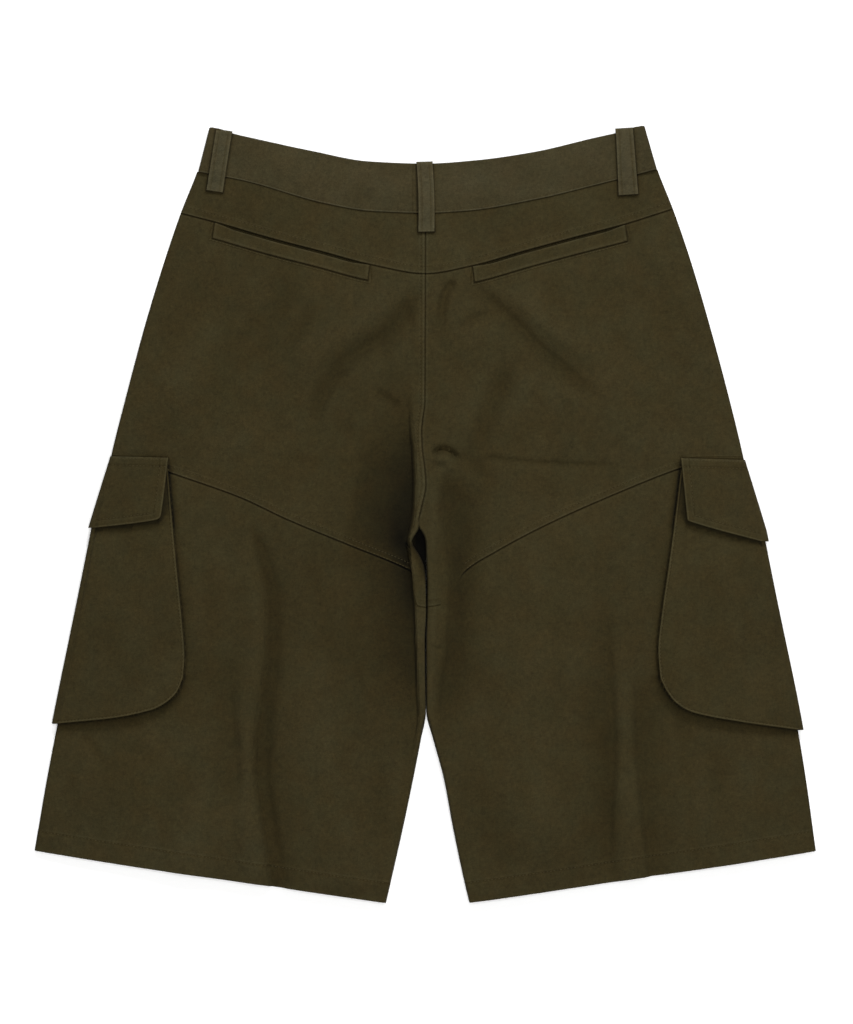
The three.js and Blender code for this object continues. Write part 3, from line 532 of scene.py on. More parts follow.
def body(x, y):
    """Height of the middle of the back layer over what it lies on, without seams, before edges are rolled."""
    away = np.maximum(inward(x, y) - 124, -200 - y)
    over = (1 - ease((away - 30) / 70)) * (1 - ease((y - 86) / 130))
    h = 9.6 - 1.6 * ease((y - 90) / 110) - 1.9 * ease((y - 190) / 70) - 2.4 * over
    d = inward(x, y)
    h = h - 3.6 * np.exp(-np.maximum(d - 3, 0) / 26.0)
    gone = 1 - ease((y - 262) / 60)
    f = folds(x, y, FOLDS)
    calm = mix(0.25, 1.0, ease((d - 6) / 40))
    h = h + 1.18 * f * mix(0.2, 1.0, gone) * calm + lump(x, y) * mix(0.4, 1.0, gone) * mix(0.5, 1, calm)
    h = h - valley(x, y)[0] + ridge(x, y)
    # mouth of the leg: cloth droops towards the end
    e = y - hem_at(x)
    h = h - 1.6 * (1 - ease(e / 60))
    return 3.0 + soft(h - 3.0)


def soft(v):
    """Keeps v above zero with a rounded foot."""
    return np.where(v > 1.2, v, 1.2 * np.exp(np.minimum(v / 1.2 - 1, 0)))


DROOP = 30.0


def top(x, y, micro=True):
    """Upper surface of the back panels."""
    u = under(x, y)
    h = body(x, y)
    droop = ease((y - waist_front(x) + 8) / DROOP) * ease((inward(x, y) - 8) / 50)
    h = mix(h, 2.6, droop)
    low = 1.35
    q = roll(inward(x, y) / 3.2)
    z = low + (h - low) * q
    di = np.maximum(toinner(x, y), 0.0)
    open_ = ease((CROTCH_Y + 2 - y) / 6)
    slit = ease((-50 - y) / 26) * ease((y + 196) / 16)
    low_in = mix(np.maximum(h - 6.5, 1.8), np.maximum(h - 4.2, 2.0), slit)
    low_in = mix(low_in, 1.5, 1 - ease((y + 200) / 16))
    radius = mix(2.0, 1.25, slit)
    radius = mix(radius, 2.6, 1 - ease((y + 200) / 16))
    zi = low_in + (h - low_in) * roll(di / radius)
    z = np.minimum(z, mix(z, zi, open_))
    if micro:
        z = z + relief(x, y) * q
        e = y - hem_at(x)
        z = z - 1.0 * (1 - roll(e / 1.1)) * (e < 1.1)
    return u + z


# ---------------------------------------------------------------- mesh building
def rim(o, i):
    """Faces between a border of outer vertices and a sparser one of inner vertices; o and i are (index, place) lists."""
    faces = []
    for (ia, pa), (ib, pb) in zip(i[:-1], i[1:]):
        span = [q for q in o if pa <= q[1] <= pb]
        mid = (pa + pb) / 2
        k = min(range(len(span)), key=lambda j: abs(span[j][1] - mid))
        for j in range(k):
            faces.append((ia, span[j][0], span[j + 1][0]))
        faces.append((ia, span[k][0], ib))
        for j in range(k, len(span) - 1):
            faces.append((ib, span[j][0], span[j + 1][0]))
    return faces


def normals_of(X, Y, Z):
    p = np.stack([X, Y, Z], -1)
    du = np.gradient(p, axis=1)
    dv = np.gradient(p, axis=0)
    n = np.cross(du, dv)
    n /= np.maximum(np.linalg.norm(n, axis=-1, keepdims=True), 1e-9)
    return n


def shell_data(outer, inner, ri, ci, flip=False):
    """Vertices and faces of a closed sheet. outer is rows x columns x 3; inner has the rows ri and columns ci of it."""
    nr, nc = outer.shape[:2]
    mr, mc = len(ri), len(ci)
    verts = np.vstack([outer.reshape(-1, 3), inner.reshape(-1, 3)])
    base = nr * nc
    idx = np.arange(nr * nc).reshape(nr, nc)
    q = np.stack([idx[:-1, :-1], idx[1:, :-1], idx[1:, 1:], idx[:-1, 1:]], -1).reshape(-1, 4)
    jdx = base + np.arange(mr * mc).reshape(mr, mc)
    w = np.stack([jdx[:-1, :-1], jdx[:-1, 1:], jdx[1:, 1:], jdx[1:, :-1]], -1).reshape(-1, 4)
    faces = q.tolist() + w.tolist()
    ri, ci = list(ri), list(ci)
    for r, rr in ((0, 0), (nr - 1, mr - 1)):
        f = rim([(int(idx[r, c]), c) for c in range(nc)], [(int(jdx[rr, k]), ci[k]) for k in range(mc)])
        faces += [tuple(reversed(t)) if r == 0 else t for t in f]
    for c, cc in ((0, 0), (nc - 1, mc - 1)):
        f = rim([(int(idx[r, c]), r) for r in range(nr)], [(int(jdx[k, cc]), ri[k]) for k in range(mr)])
        faces += [t if c == 0 else tuple(reversed(t)) for t in f]
    return verts, faces


def make(name, parts, wear_and_painted_shade=None, smooth=True):
    """One object from (vertices, faces) parts, in mm. The last argument gives a value for each vertex, stored as an
    attribute: some edge wear and uneven dye, and painted shade in hollows, grooves and beside raised parts, and painted
    highlights on crests and rolled edges.
    """
    verts, faces, n = [], [], 0
    for v, f in parts:
        verts.append(np.asarray(v, float))
        faces += [tuple(int(k) + n for k in t) for t in f]
        n += len(v)
    v = np.vstack(verts)
    v = (v + np.array([SHIFT_X, SHIFT_Y, 0.0])) / 1000.0
    me = bpy.data.meshes.new(name)
    me.from_pydata(v.tolist(), [], faces)
    me.update()
    import bmesh
    bm = bmesh.new()
    bm.from_mesh(me)
    bmesh.ops.recalc_face_normals(bm, faces=bm.faces)
    bm.to_mesh(me)
    bm.free()
    me.polygons.foreach_set("use_smooth", [smooth] * len(me.polygons))
    me.set_sharp_from_angle(angle=math.radians(48))
    a = me.attributes.new("wear_and_painted_shade", "FLOAT", "POINT")
    w = np.zeros(len(v)) if wear_and_painted_shade is None else np.concatenate([np.asarray(q, float) for q in wear_and_painted_shade])
    a.data.foreach_set("value", w)
    me.update()
    ob = bpy.data.objects.new(name, me)
    bpy.context.scene.collection.objects.link(ob)
    return ob


def pick(n, every, keep=()):
    """Sparse indices with both ends."""
    s = sorted(set(range(0, n, every)) | {n - 1} | set(keep))
    return np.array(s)


NEAR_SIDE = [0, 0.05, 0.22, 0.5, 0.9, 1.45, 2.1, 2.8, 3.6, 4.6, 6.0]
NEAR_SEAM = [0, 0.25, 0.55, 0.9, 1.4, 2.2, 3.2, 3.7, 4.0, 4.3, 4.9, 5.6, 5.9, 6.2, 6.6, 6.9, 7.2, 7.8, 8.8, 10.2]
NEAR_INNER = [0, 0.06, 0.25, 0.55, 0.95, 1.45, 2.1, 2.9, 3.6, 4.0, 4.4, 5.0, 5.7, 6.4, 7.1, 7.8, 8.4, 8.9, 9.3, 9.6, 9.8, 10.0,
              10.15, 10.3, 10.45, 10.6, 10.75, 10.9, 11.05, 11.2, 11.35, 11.5, 11.65, 11.8, 11.95, 12.1, 12.3, 12.6, 13.0, 13.8,
              15.0, 16.4]
NEAR_HEM = [0, 0.05, 0.2, 0.5, 0.85, 1.2, 2.2, 4, 6, 8, 10, 12, 14, 16, 17.4, 18.3, 18.8, 19.2, 19.7, 20.4, 21.6, 23.2]
FOOT_SEAM = [0, 0.25, 0.55, 0.9, 1.4, 2.2, 3.4, 5.0]
WELT_ROWS = [7, 9, 11, 13, 14.4, 15.0, 15.5, 16.0, 16.5, 17.0, 17.6, 18.4, 19.6]


def panel_grid(edge_out, edge_in, s, top_line, foot_line, near_out, near_in, near_top, near_foot, step, gap_top, gap_foot, gap_in):
    """Columns between two edges, rows between two borders; finer near them. s is +1 if inward is +x."""
    mid_y = 0.0
    a, b = near_out[-1], near_in[-1]
    width = np.max(np.abs(edge_in(np.linspace(-350, 300, 14)) - edge_out(np.linspace(-350, 300, 14))))
    n = max(2, int(round((width - a - b) / step)))
    tags = [("o", q) for q in near_out] + [("m", t) for t in np.linspace(0, 1, n + 1)[1:-1]] + [("i", q) for q in reversed(near_in)]

    def xcol(y):
        """y is rows x columns or one row of columns."""
        eo, ei = edge_out(y), edge_in(y) - s * gap_in
        out = np.empty_like(y)
        for k, (tag, q) in enumerate(tags):
            if tag == "o":
                out[..., k] = eo[..., k] + s * q
            elif tag == "i":
                out[..., k] = ei[..., k] - s * q
            else:
                out[..., k] = mix(eo[..., k] + s * a, ei[..., k] - s * b, q)
        return out

    def border(line, start):
        y = np.full(len(tags), start, float)
        for _ in range(120):
            y = mix(y, line(xcol(y)), 0.4)
        return y

    yt = border(top_line, 150.0) - gap_top
    yb = border(foot_line, -100.0) + gap_foot
    kt = np.sqrt(1 + slope(top_line, xcol(yt)) ** 2)
    kb = np.sqrt(1 + slope(foot_line, xcol(yb)) ** 2)
    kt, kb = np.minimum(kt, 1.5), np.minimum(kb, 1.4)
    length = np.max(yt - yb)
    m = max(2, int(round((length - near_top[-1] - near_foot[-1]) / step)))
    rows = [yt - q * kt for q in near_top]
    r0, r1 = yt - near_top[-1] * kt, yb + near_foot[-1] * kb
    rows += [mix(r0, r1, t) for t in np.linspace(0, 1, m + 1)[1:-1]]
    rows += [yb + q * kb for q in reversed(near_foot)]
    Y = np.array(rows)
    X = xcol(Y)
    return X, Y


def edge_wear(X, Y, dist_list):
    w = np.zeros_like(X)
    for d, r in dist_list:
        w = np.maximum(w, np.exp(-(d / r) ** 2))
    return w


def sheet_piece(name, X, Y, zf, zbase, wall, every=2, wear_and_painted_shade=None):
    """A panel: upper surface zf, lower surface one wall under the smooth surface zbase."""
    Z = zf(X, Y)
    B = zbase(X, Y)
    outer = np.stack([X, Y, Z], -1)
    ri, ci = pick(X.shape[0], every), pick(X.shape[1], every)
    n = normals_of(X, Y, B)
    n[..., 2] = np.maximum(n[..., 2], 0.35)
    n /= np.linalg.norm(n, axis=-1, keepdims=True)
    t = wall(X, Y) if callable(wall) else np.full_like(X, wall)
    inner = np.stack([X, Y, B], -1) - n * t[..., None]
    # stays inside the outline: no sideways move at the borders
    flat = np.stack([X, Y, np.minimum(B, Z) - t], -1)
    edge = np.ones(X.shape)
    for k in range(8):
        s = k / 8
        edge[k, :] = np.minimum(edge[k, :], s); edge[-1 - k, :] = np.minimum(edge[-1 - k, :], s)
        edge[:, k] = np.minimum(edge[:, k], s); edge[:, -1 - k] = np.minimum(edge[:, -1 - k], s)
    inner = mix(flat, inner, edge[..., None])
    inner[..., 2] = np.minimum(np.maximum(inner[..., 2], under(X, Y) + 0.25), Z - 0.2)
    inner = inner[np.ix_(ri, ci)]
    v, f = shell_data(outer, inner, ri, ci)
    w = np.zeros_like(X) if wear_and_painted_shade is None else wear_and_painted_shade
    return make(name, [(v, f)], [w.ravel(), w[np.ix_(ri, ci)].ravel()]), Z


PIECES = {}
STEP = 1.9


LOOPS = [
    dict(node="belt_loop_back_left", x0=-187.3, y0=357.0, x1=-196.3, y1=299.6, w0=15.4, w1=15.6, bow=0.8, curl=2.0),
    dict(node="belt_loop_back_centre", x0=-1.0, y0=327.9, x1=0.8, y1=261.6, w0=15.2, w1=15.4, bow=1.6, curl=2.6),
    dict(node="belt_loop_back_right", x0=184.8, y0=359.0, x1=188.8, y1=296.4, w0=16.4, w1=18.6, bow=1.0, curl=2.4),
    dict(node="belt_loop_front_left", x0=-97, y0=313, x1=-92, y1=257, w0=15, w1=15, bow=0, curl=0),
    dict(node="belt_loop_front_right", x0=97, y0=313, x1=92, y1=257, w0=15, w1=15, bow=0, curl=0),
]


def loop_shade(x, y):
    """Darker line on the cloth beside each belt loop."""
    w = np.zeros_like(x)
    for q in LOOPS[:3]:
        dx, dy = q["x1"] - q["x0"], q["y1"] - q["y0"]
        ln = math.hypot(dx, dy)
        t = ((x - q["x0"]) * dx + (y - q["y0"]) * dy) / ln
        a = np.abs((x - q["x0"]) * -dy / ln + (y - q["y0"]) * dx / ln) - mix(q["w0"], q["w1"], t / ln) / 2
        out = np.maximum(a, t - ln)
        w -= 0.95 * np.exp(-((out - 0.3) / 0.75) ** 2) * (t > -2) + 0.28 * np.exp(-(np.maximum(out, 0) / 2.8) ** 2) * (t > -2)
    return w


LEAN = 0.55
WELT_BOXES = ((-196.5, -51.5, 14.9), (43.5, 186.0, 15.5))   # left and right ends, depth below the yoke seam


# soft patches of colour: place and half size in the picture frame, amount. Some are uneven dye; the darker ones in the
# seat valley, the troughs and the fork are painted shade, and paler ones on crests and the raised strip are painted
# highlights.
DYE_AND_PAINTED_SHADE_PATCHES = [
    (352, 436, 44, 58, -0.18), (215, 350, 84, 92, -0.08), (330, 625, 62, 110, -0.07), (222, 640, 52, 92, -0.06),
    (168, 852, 150, 32, 0.11), (640, 345, 60, 80, -0.03), (455, 585, 26, 70, -0.06), (366, 496, 28, 40, -0.20),
    (362, 640, 36, 44, -0.14), (396, 520, 9, 48, -0.20), (441, 578, 9, 46, -0.16), (461, 575, 9, 56, -0.22),
    (452, 640, 12, 44, -0.12), (290, 316, 32, 32, -0.08), (352, 318, 20, 24, 0.10), (308, 352, 14, 18, 0.08), (392, 352, 16, 30, -0.14),
    (262, 262, 130, 105, -0.04), (433, 640, 5, 80, 0.12), (419, 590, 7, 22, -0.16), (640, 856, 150, 30, 0.03),
]


def dye_and_painted_shade_patches(x, y):
    w = np.zeros_like(x)
    for px, py, rx, ry, k in DYE_AND_PAINTED_SHADE_PATCHES:
        cx, cy = P(px, py)
        w += k * np.exp(-((x - cx) / (rx * PX)) ** 2 - ((y - cy) / (ry * PX)) ** 2)
    return w


def cloth_wear_and_painted_shade(x, y):
    """Colour value for the back panels: painted highlights on crests, rims and seam edges, partly edge wear; painted
    shade in hollows and grooves, beside pockets, flaps, loops and welts, and under the waistband; uneven dye.
    """
    f = np.clip(folds(x, y, FOLDS), -6, 4)
    # painted shade in fold troughs and the seat valley, painted highlight on fold crests and on the raised strip
    w = np.where(f < 0, 0.078, 0.048) * f - 1.75 * valley(x, y)[1] + 0.18 * ease((ridge(x, y) - 0.8) / 1.5)
    # uneven dye, painted shade and light along the faint wrinkles, and the soft colour patches
    w += 0.08 * noise(x + 5, y * 1.3, 46, 81) + 0.06 * noise(x * 1.4, y, 21, 82) + 0.085 * crumple(x, y) + dye_and_painted_shade_patches(x, y)
    # painted shade along the side outline, where the cloth rolls under
    w -= 0.30 * np.exp(-(np.maximum(inward(x, y), 0) / 1.1) ** 2)
    # painted highlight on the strip between the valley and the leg's inner edge
    d = RIDGE_EDGE(y) - x
    w += 0.10 * (1 - ease((d - 5.0) / 4.0)) * (x < inner_back["left"](y) + 0.4) * ease((y + 225) / 40) * (1 - ease((y + 120) / 50))
    # seams: painted shade in the seam and stitch grooves, painted highlight on the raised edge above each seam, partly
    # edge wear
    fork = np.where(x < -9, mix(0.12, 1.0, ease((-11 - x) / 5)), np.where(x < 14, 0.6, mix(0.05, 1.0, ease((x - 31) / 7))))
    for f, k, st in ((yoke_seam, 1.0, YOKE_STITCH), (slant_at, fork, SLANT_STITCH)):
        d = across_seam(f, x, y)
        w += k * (0.50 * np.exp(-((d - 1.5) / 0.75) ** 2) - 0.95 * np.exp(-(d / 0.75) ** 2)
                  + 0.14 * np.exp(-((d + 1.6) / 0.9) ** 2) - 0.36 * np.exp(-((d - st) / 0.55) ** 2) + 0.16 * np.exp(-((d - st - 1.3) / 0.7) ** 2))
    # centre back seam: painted highlight on the raised edges, painted shade in the seam line and stitch groove
    on = ease((y + 8) / 6)
    d = inner_back["left"](y) - x
    w += on * (0.55 * np.exp(-((d - 1.5) / 0.7) ** 2) + 0.22 * np.exp(-((d - 5.2) / 0.7) ** 2) - 0.48 * np.exp(-((d - CB_STITCH) / 0.55) ** 2))
    dr = x - inner_back["right"](y)
    w += on * 0.40 * np.exp(-((dr - 1.5) / 0.8) ** 2) * (dr > 0)
    w -= on * 0.85 * np.exp(-(np.minimum(np.abs(d), np.abs(dr)) / 0.5) ** 2)
    # hem: painted highlight on the turned edge and beside the stitch line, painted shade in the stitch groove
    e = y - hem_at(x)
    w += 0.24 * np.exp(-((e - 0.9) / 0.7) ** 2) - 0.60 * np.exp(-((e - HEM_HEIGHT) / 0.75) ** 2) + 0.24 * np.exp(-((e - 20.6) / 0.8) ** 2) + 0.10 * np.exp(-((e - 17.4) / 0.8) ** 2)
    # painted shadow beside the pockets, deeper beside the flaps, and a painted shadow line along each flap's top
    for key in ("left", "right"):
        d, de, df = free_edge(x, y, key)
        near = ((np.abs(x) > 190) & (d < 0.5)) * ease((FLAP_LINES[key][1](x) + 0.5 - y) / 2.5)
        w -= near * (0.34 + 0.62 * ease((y + 22) / 14) * (1 - ease((y - 36) / 18))) * np.exp(-(np.minimum(d, 0) / 4.2) ** 2)
        w -= near * 0.75 * np.exp(-(np.minimum(d, 0) / 1.5) ** 2)
        te = FLAP_LINES[key][1]
        fe0 = FLAP_LINES[key][0]
        w -= 0.9 * np.exp(-((y - te(x) - 0.2) / 1.0) ** 2) * (x * (-1 if key == "left" else 1) > np.abs(fe0(y)) - 0.5)
        w -= near * 0.42 * (y < -150) * np.exp(-(np.minimum(d, 0) / 8.5) ** 2)
    w += loop_shade(x, y)
    di = toinner(x, y)
    own = x < inner_back["left"](y) + 0.4
    # painted highlight along the rims of the fork opening
    reach = np.where(own, 1 - ease((-24 - y) / 4), 1 - ease((-34 - y) / 30))
    w += 0.42 * np.exp(-((di - 1.3) / 1.1) ** 2) * ease((-12 - y) / 4) * reach * (di > -0.5)
    # shade inside the fork, where the cloth turns under
    w -= 1.12 * own * ease((-25 - y) / 4) * (1 - ease((-46 - y) / 24)) * np.exp(-(np.maximum(di - 0.3, 0) / 5.4) ** 2)
    # painted shadow under the waistband's edge
    d = band_seam(x) - y
    w -= 1.15 * np.exp(-(d / 1.2) ** 2)
    # painted shadow around each welt, with a painted highlight on its rim
    for q in WELT_BOXES:
        d = -across_seam(yoke_seam, x, y)
        sl = slope(yoke_seam, x)
        a = x - LEAN * sl / np.sqrt(1 + sl * sl) * d
        out = np.maximum(np.maximum(q[0] - a, a - q[1]), d - q[2])
        w -= 0.95 * np.exp(-((out - 0.35) / 0.6) ** 2) * (d > 0) * (out < 4)
        w += 0.30 * np.exp(-((out - 1.5) / 0.5) ** 2) * (d > 0) * (out < 4)
        w -= 0.55 * np.exp(-((out - 2.4) / 0.5) ** 2) * (d > 0) * (out < 4)
    return w



def hem_wall(x, y):
    return CLOTH + (HEM_WALL - CLOTH) * (1 - ease((y - hem_at(x) - HEM_HEIGHT) / 1.5))


for key, s in (("left", 1), ("right", -1)):
    smooth_top = lambda x, y: top(x, y, micro=False)
    common = (side[key], inner_back[key], s)
    # yoke
    X, Y = panel_grid(*common, band_seam, yoke_seam, NEAR_SIDE, NEAR_INNER, FOOT_SEAM, NEAR_SEAM, 2.2, 0.2, 0.05, 0.05)
    PIECES[f"yoke_{key}"], _ = sheet_piece(f"back_yoke_{key}", X, Y, top, smooth_top, CLOTH, wear_and_painted_shade=cloth_wear_and_painted_shade(X, Y))
    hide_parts(f"yoke_{key}")
    # back
    X, Y = panel_grid(*common, yoke_seam, slant[key], NEAR_SIDE, NEAR_INNER, FOOT_SEAM + WELT_ROWS, NEAR_SEAM, STEP, 0.05, 0.03, 0.05)
    PIECES[f"back_{key}"], _ = sheet_piece(f"back_panel_{key}", X, Y, top, smooth_top, CLOTH, wear_and_painted_shade=cloth_wear_and_painted_shade(X, Y))
    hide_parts(f"back_{key}")
    # lower leg
    X, Y = panel_grid(*common, slant[key], hem[key], NEAR_SIDE, NEAR_INNER, FOOT_SEAM, NEAR_HEM, STEP, 0.03, 0.0, 0.05)
    PIECES[f"back_leg_{key}"], _ = sheet_piece(f"lower_leg_{key}", X, Y, top, smooth_top, hem_wall, wear_and_painted_shade=cloth_wear_and_painted_shade(X, Y))
    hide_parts(f"back_leg_{key}")

    # front, which lies on the surface
    X, Y = panel_grid(side[key], inner_front[key], s, band_seam_front, hem[key],
                      [0, 0.1, 0.4, 1.0, 2.5], [0, 0.1, 0.4, 1.0, 2.5, 5, 8, 12, 16], [0, 0.5, 1.5], [0, 0.3, 1, 3, 17, 19, 21], 5.5,
                      0.15, 0.0, 0.01)

    def front_top(x, y):
        t = hem_wall(x, y)
        e = np.minimum(np.minimum(inward(x, y), y - hem_at(x)), np.where(x < 0.5, inner_front["left"](y) - x, x - inner_front["right"](y)) + 99 * (y > -60))
        return under(x, y) + t * mix(0.45, 1.0, roll(e / 0.8))

    Z = front_top(X, Y)
    outer = np.stack([X, Y, Z], -1)
    ri, ci = pick(X.shape[0], 2), pick(X.shape[1], 2)
    inner = np.stack([X, Y, under(X, Y)], -1)[np.ix_(ri, ci)]
    v, f = shell_data(outer, inner, ri, ci)
    # painted shade on the front where it shows through the fork opening
    fork_painted_shade = -2.1 * np.exp(-(X / 20) ** 2) * (1 - ease((Y + 4) / 6)) * ease((Y + 200) / 60)
    PIECES[f"front_{key}"] = make(f"front_panel_{key}", [(v, f)], [fork_painted_shade.ravel(), fork_painted_shade[np.ix_(ri, ci)].ravel()])
    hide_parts(f"front_{key}")


# ---------------------------------------------------------------- waistband
def band_profile(d_top, d_foot):
    """Rounded borders of the band's outer face."""
    return -0.9 * (1 - roll(d_top / 0.9)) - 0.9 * (1 - roll(d_foot / 0.9)) * 1.0


BAND_RISE = 1.0
BAND_ROWS = [0, 0.05, 0.2, 0.5, 0.9, 1.5, 2.0, 2.6, 4.0]


def band_top(x, y, d_top, d_foot):
    """Upper face of the waistband's back half."""
    z = top(x, y, micro=False) + BAND_RISE
    z = z + band_profile(d_top, d_foot)
    z = z - 0.22 * np.exp(-((d_foot - 2.0) / 0.5) ** 2)
    z = z + 0.16 * noise(x * 0.5, y, 17, 5) + 0.20 * crumple(x, y * 0.8) + pucker(x + 0.4 * y, d_foot - 6, 11, 0.10, 9, 51)
    return z


for key, s in (("left", -1), ("right", 1)):
    ex0, ex1 = (-201.3, -211.8) if s < 0 else (204.0, 215.6)
    r_out = 3.3
    vs = []
    h = 45.0
    for q in BAND_ROWS:
        vs.append(q / h)
    vs += list(np.linspace(BAND_ROWS[-1] / h, 1 - BAND_ROWS[-1] / h, 18)[1:-1])
    vs += [1 - q / h for q in reversed(BAND_ROWS)]
    vs = np.array(vs)
    nb, na, nf = 240, 10, 44
    rows, rows_in, wear_and_painted_shade = [], [], []
    for v in vs:
        xe_out = mix(ex0, ex1, v)
        xe = xe_out - s * r_out
        u = np.linspace(0, 1, nb)
        xb = mix(s * 0.12, xe, u)
        gap = 0.0
        lift_c = 1.7 * ease(1 - np.abs(xe - xb) / 26.0)
        seam_y = band_seam(xb) - 0.45
        yb = mix(waist_back(xb) + lift_c, seam_y, v)
        d_top, d_foot = v * h, (1 - v) * h
        zb = band_top(xb, yb, np.full_like(xb, d_top), np.full_like(xb, d_foot))
        near = ease(1 - (np.abs(xe - xb)) / 34.0)
        z_side = 2 * r_out + band_profile(np.array(d_top), np.array(d_foot))
        zb = mix(zb, z_side, near)
        # centre back seam of the band
        zb = zb - 0.35 * np.exp(-((xb + 12.0) / 0.7) ** 2)
        # round the side
        ang = np.linspace(90, -90, na + 2)[1:-1] * math.pi / 180
        xa = xe + s * r_out * np.cos(ang)
        rr = r_out + band_profile(np.array(d_top), np.array(d_foot)) * 0.6
        xa = xe + s * rr * np.cos(ang)
        za = r_out + rr * np.sin(ang)
        ya = mix(waist_back(xe) + 1.7, band_seam(xa) - 0.45, v)
        # front half, face down
        w = np.linspace(0, 1, nf)
        xf = mix(xe, 0.5 + s * 0.12, w)
        yf = mix(waist_front(xf), band_seam_front(xf) - 0.3, v)
        k = ease((np.abs(xf - xe)) / 30)
        yf = mix(np.full(nf, ya[-1]), yf, k)
        zf = under(xf, yf) * k + 0.0 - band_profile(np.array(d_top), np.array(d_foot)) * 0.6
        rows.append(np.stack([np.r_[xb, xa, xf], np.r_[yb, ya, yf], np.r_[zb, za, zf]], -1))
        ti = BAND_WALL - 0.35 * (1 - roll(min(d_top, d_foot) / 1.0)) * 2
        ri_ = max(r_out - ti, 0.4)
        zbi = np.minimum(zb, mix(top(xb, yb, micro=False) + BAND_RISE, 2 * r_out, near)) - ti
        xai, zai = xe + s * ri_ * np.cos(ang), r_out + ri_ * np.sin(ang)
        zfi = np.minimum(under(xf, yf) * k + ti, zf + ti)
        rows_in.append(np.stack([np.r_[xb, xai, xf], np.r_[yb, ya, yf], np.r_[zbi, zai, zfi]], -1))
        # painted shadow beside the loops and in the centre back seam, painted shade along the band's top and foot edges
        # and its stitch groove, painted highlight on its rolled edges; dye noise and faint wrinkles
        wear_and_painted_shade.append(np.r_[loop_shade(xb, yb) - 0.35 * np.exp(-((xb + 12.0) / 0.6) ** 2), np.zeros(na + nf)]
                    + 0.07 * noise(np.r_[xb, xa, xf], np.r_[yb, ya, yf] * 1.6, 30, 86) + 0.12 * crumple(np.r_[xb, xa, xf], np.r_[yb, ya, yf]) - 0.03 + np.full(nb + na + nf, -0.9 * math.exp(-(d_foot / 0.35) ** 2) - 0.5 * math.exp(-(d_top / 0.3) ** 2) + 0.62 * math.exp(-((d_foot - 0.75) / 0.7) ** 2) - 0.22 * math.exp(-((d_foot - 2.1) / 0.5) ** 2) + 0.25 * math.exp(-(d_top / 1.0) ** 2)))
    outer, inner = np.array(rows), np.array(rows_in)
    wear_and_painted_shade = np.array(wear_and_painted_shade)
    ri, ci = pick(len(vs), 2), pick(outer.shape[1], 2, range(nb - 4, nb + na + 4))
    inner = inner[np.ix_(ri, ci)]
    v, f = shell_data(outer, inner, ri, ci)
    ob = make(f"waist_band_{key}", [(v, f)], [wear_and_painted_shade.ravel(), wear_and_painted_shade[np.ix_(ri, ci)].ravel()])
    PIECES[f"waistband_{key}"] = ob
    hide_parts(f"waistband_{key}")

# ---------------------------------------------------------------- cargo pockets and flaps
NEAR_FREE = [0, 0.06, 0.25, 0.5, 0.8, 1.3, 1.9, 2.2, 2.5, 3.2, 4.5, 6.3, 7.1, 7.4, 7.7, 8.6, 10]


def wrap_grid(edge, foot, head, out, s, near_edge, near_foot, near_head, step, reach):
    """Grid of one half of a piece that turns round the side. Columns run from its free inner edge to the side."""
    a = near_edge[-1]
    width = 130.0 if reach > 100 else 75.0
    n = int(round((width - a) / step))
    tags = [("e", q) for q in near_edge] + [("m", t) for t in np.linspace(0, 1, n + 1)[1:]]

    def xcol(y):
        e, o = edge(y), out(y)
        c = np.empty_like(y)
        for k, (tag, q) in enumerate(tags):
            c[..., k] = e[..., k] + s * q if tag == "e" else mix(e[..., k] + s * a, o[..., k], q)
        return c

    def border(line, start):
        y = np.full(len(tags), start, float)
        for _ in range(150):
            y = mix(y, line(xcol(y)), 0.35)
        return y

    yt, yb = border(head, 40.0), border(foot, -150.0 if reach > 100 else -10.0)
    kb = np.minimum(np.sqrt(1 + slope(foot, xcol(yb)) ** 2), 1.5)
    m = int(round((np.max(yt - yb) - near_head[-1] - near_foot[-1]) / step))
    rows = [yt - q for q in near_head]
    rows += [mix(yt - near_head[-1], yb + near_foot[-1] * kb, t) for t in np.linspace(0, 1, m + 1)[1:-1]]
    rows += [yb + q * kb for q in reversed(near_foot)]
    Y = np.array(rows)
    return xcol(Y), Y


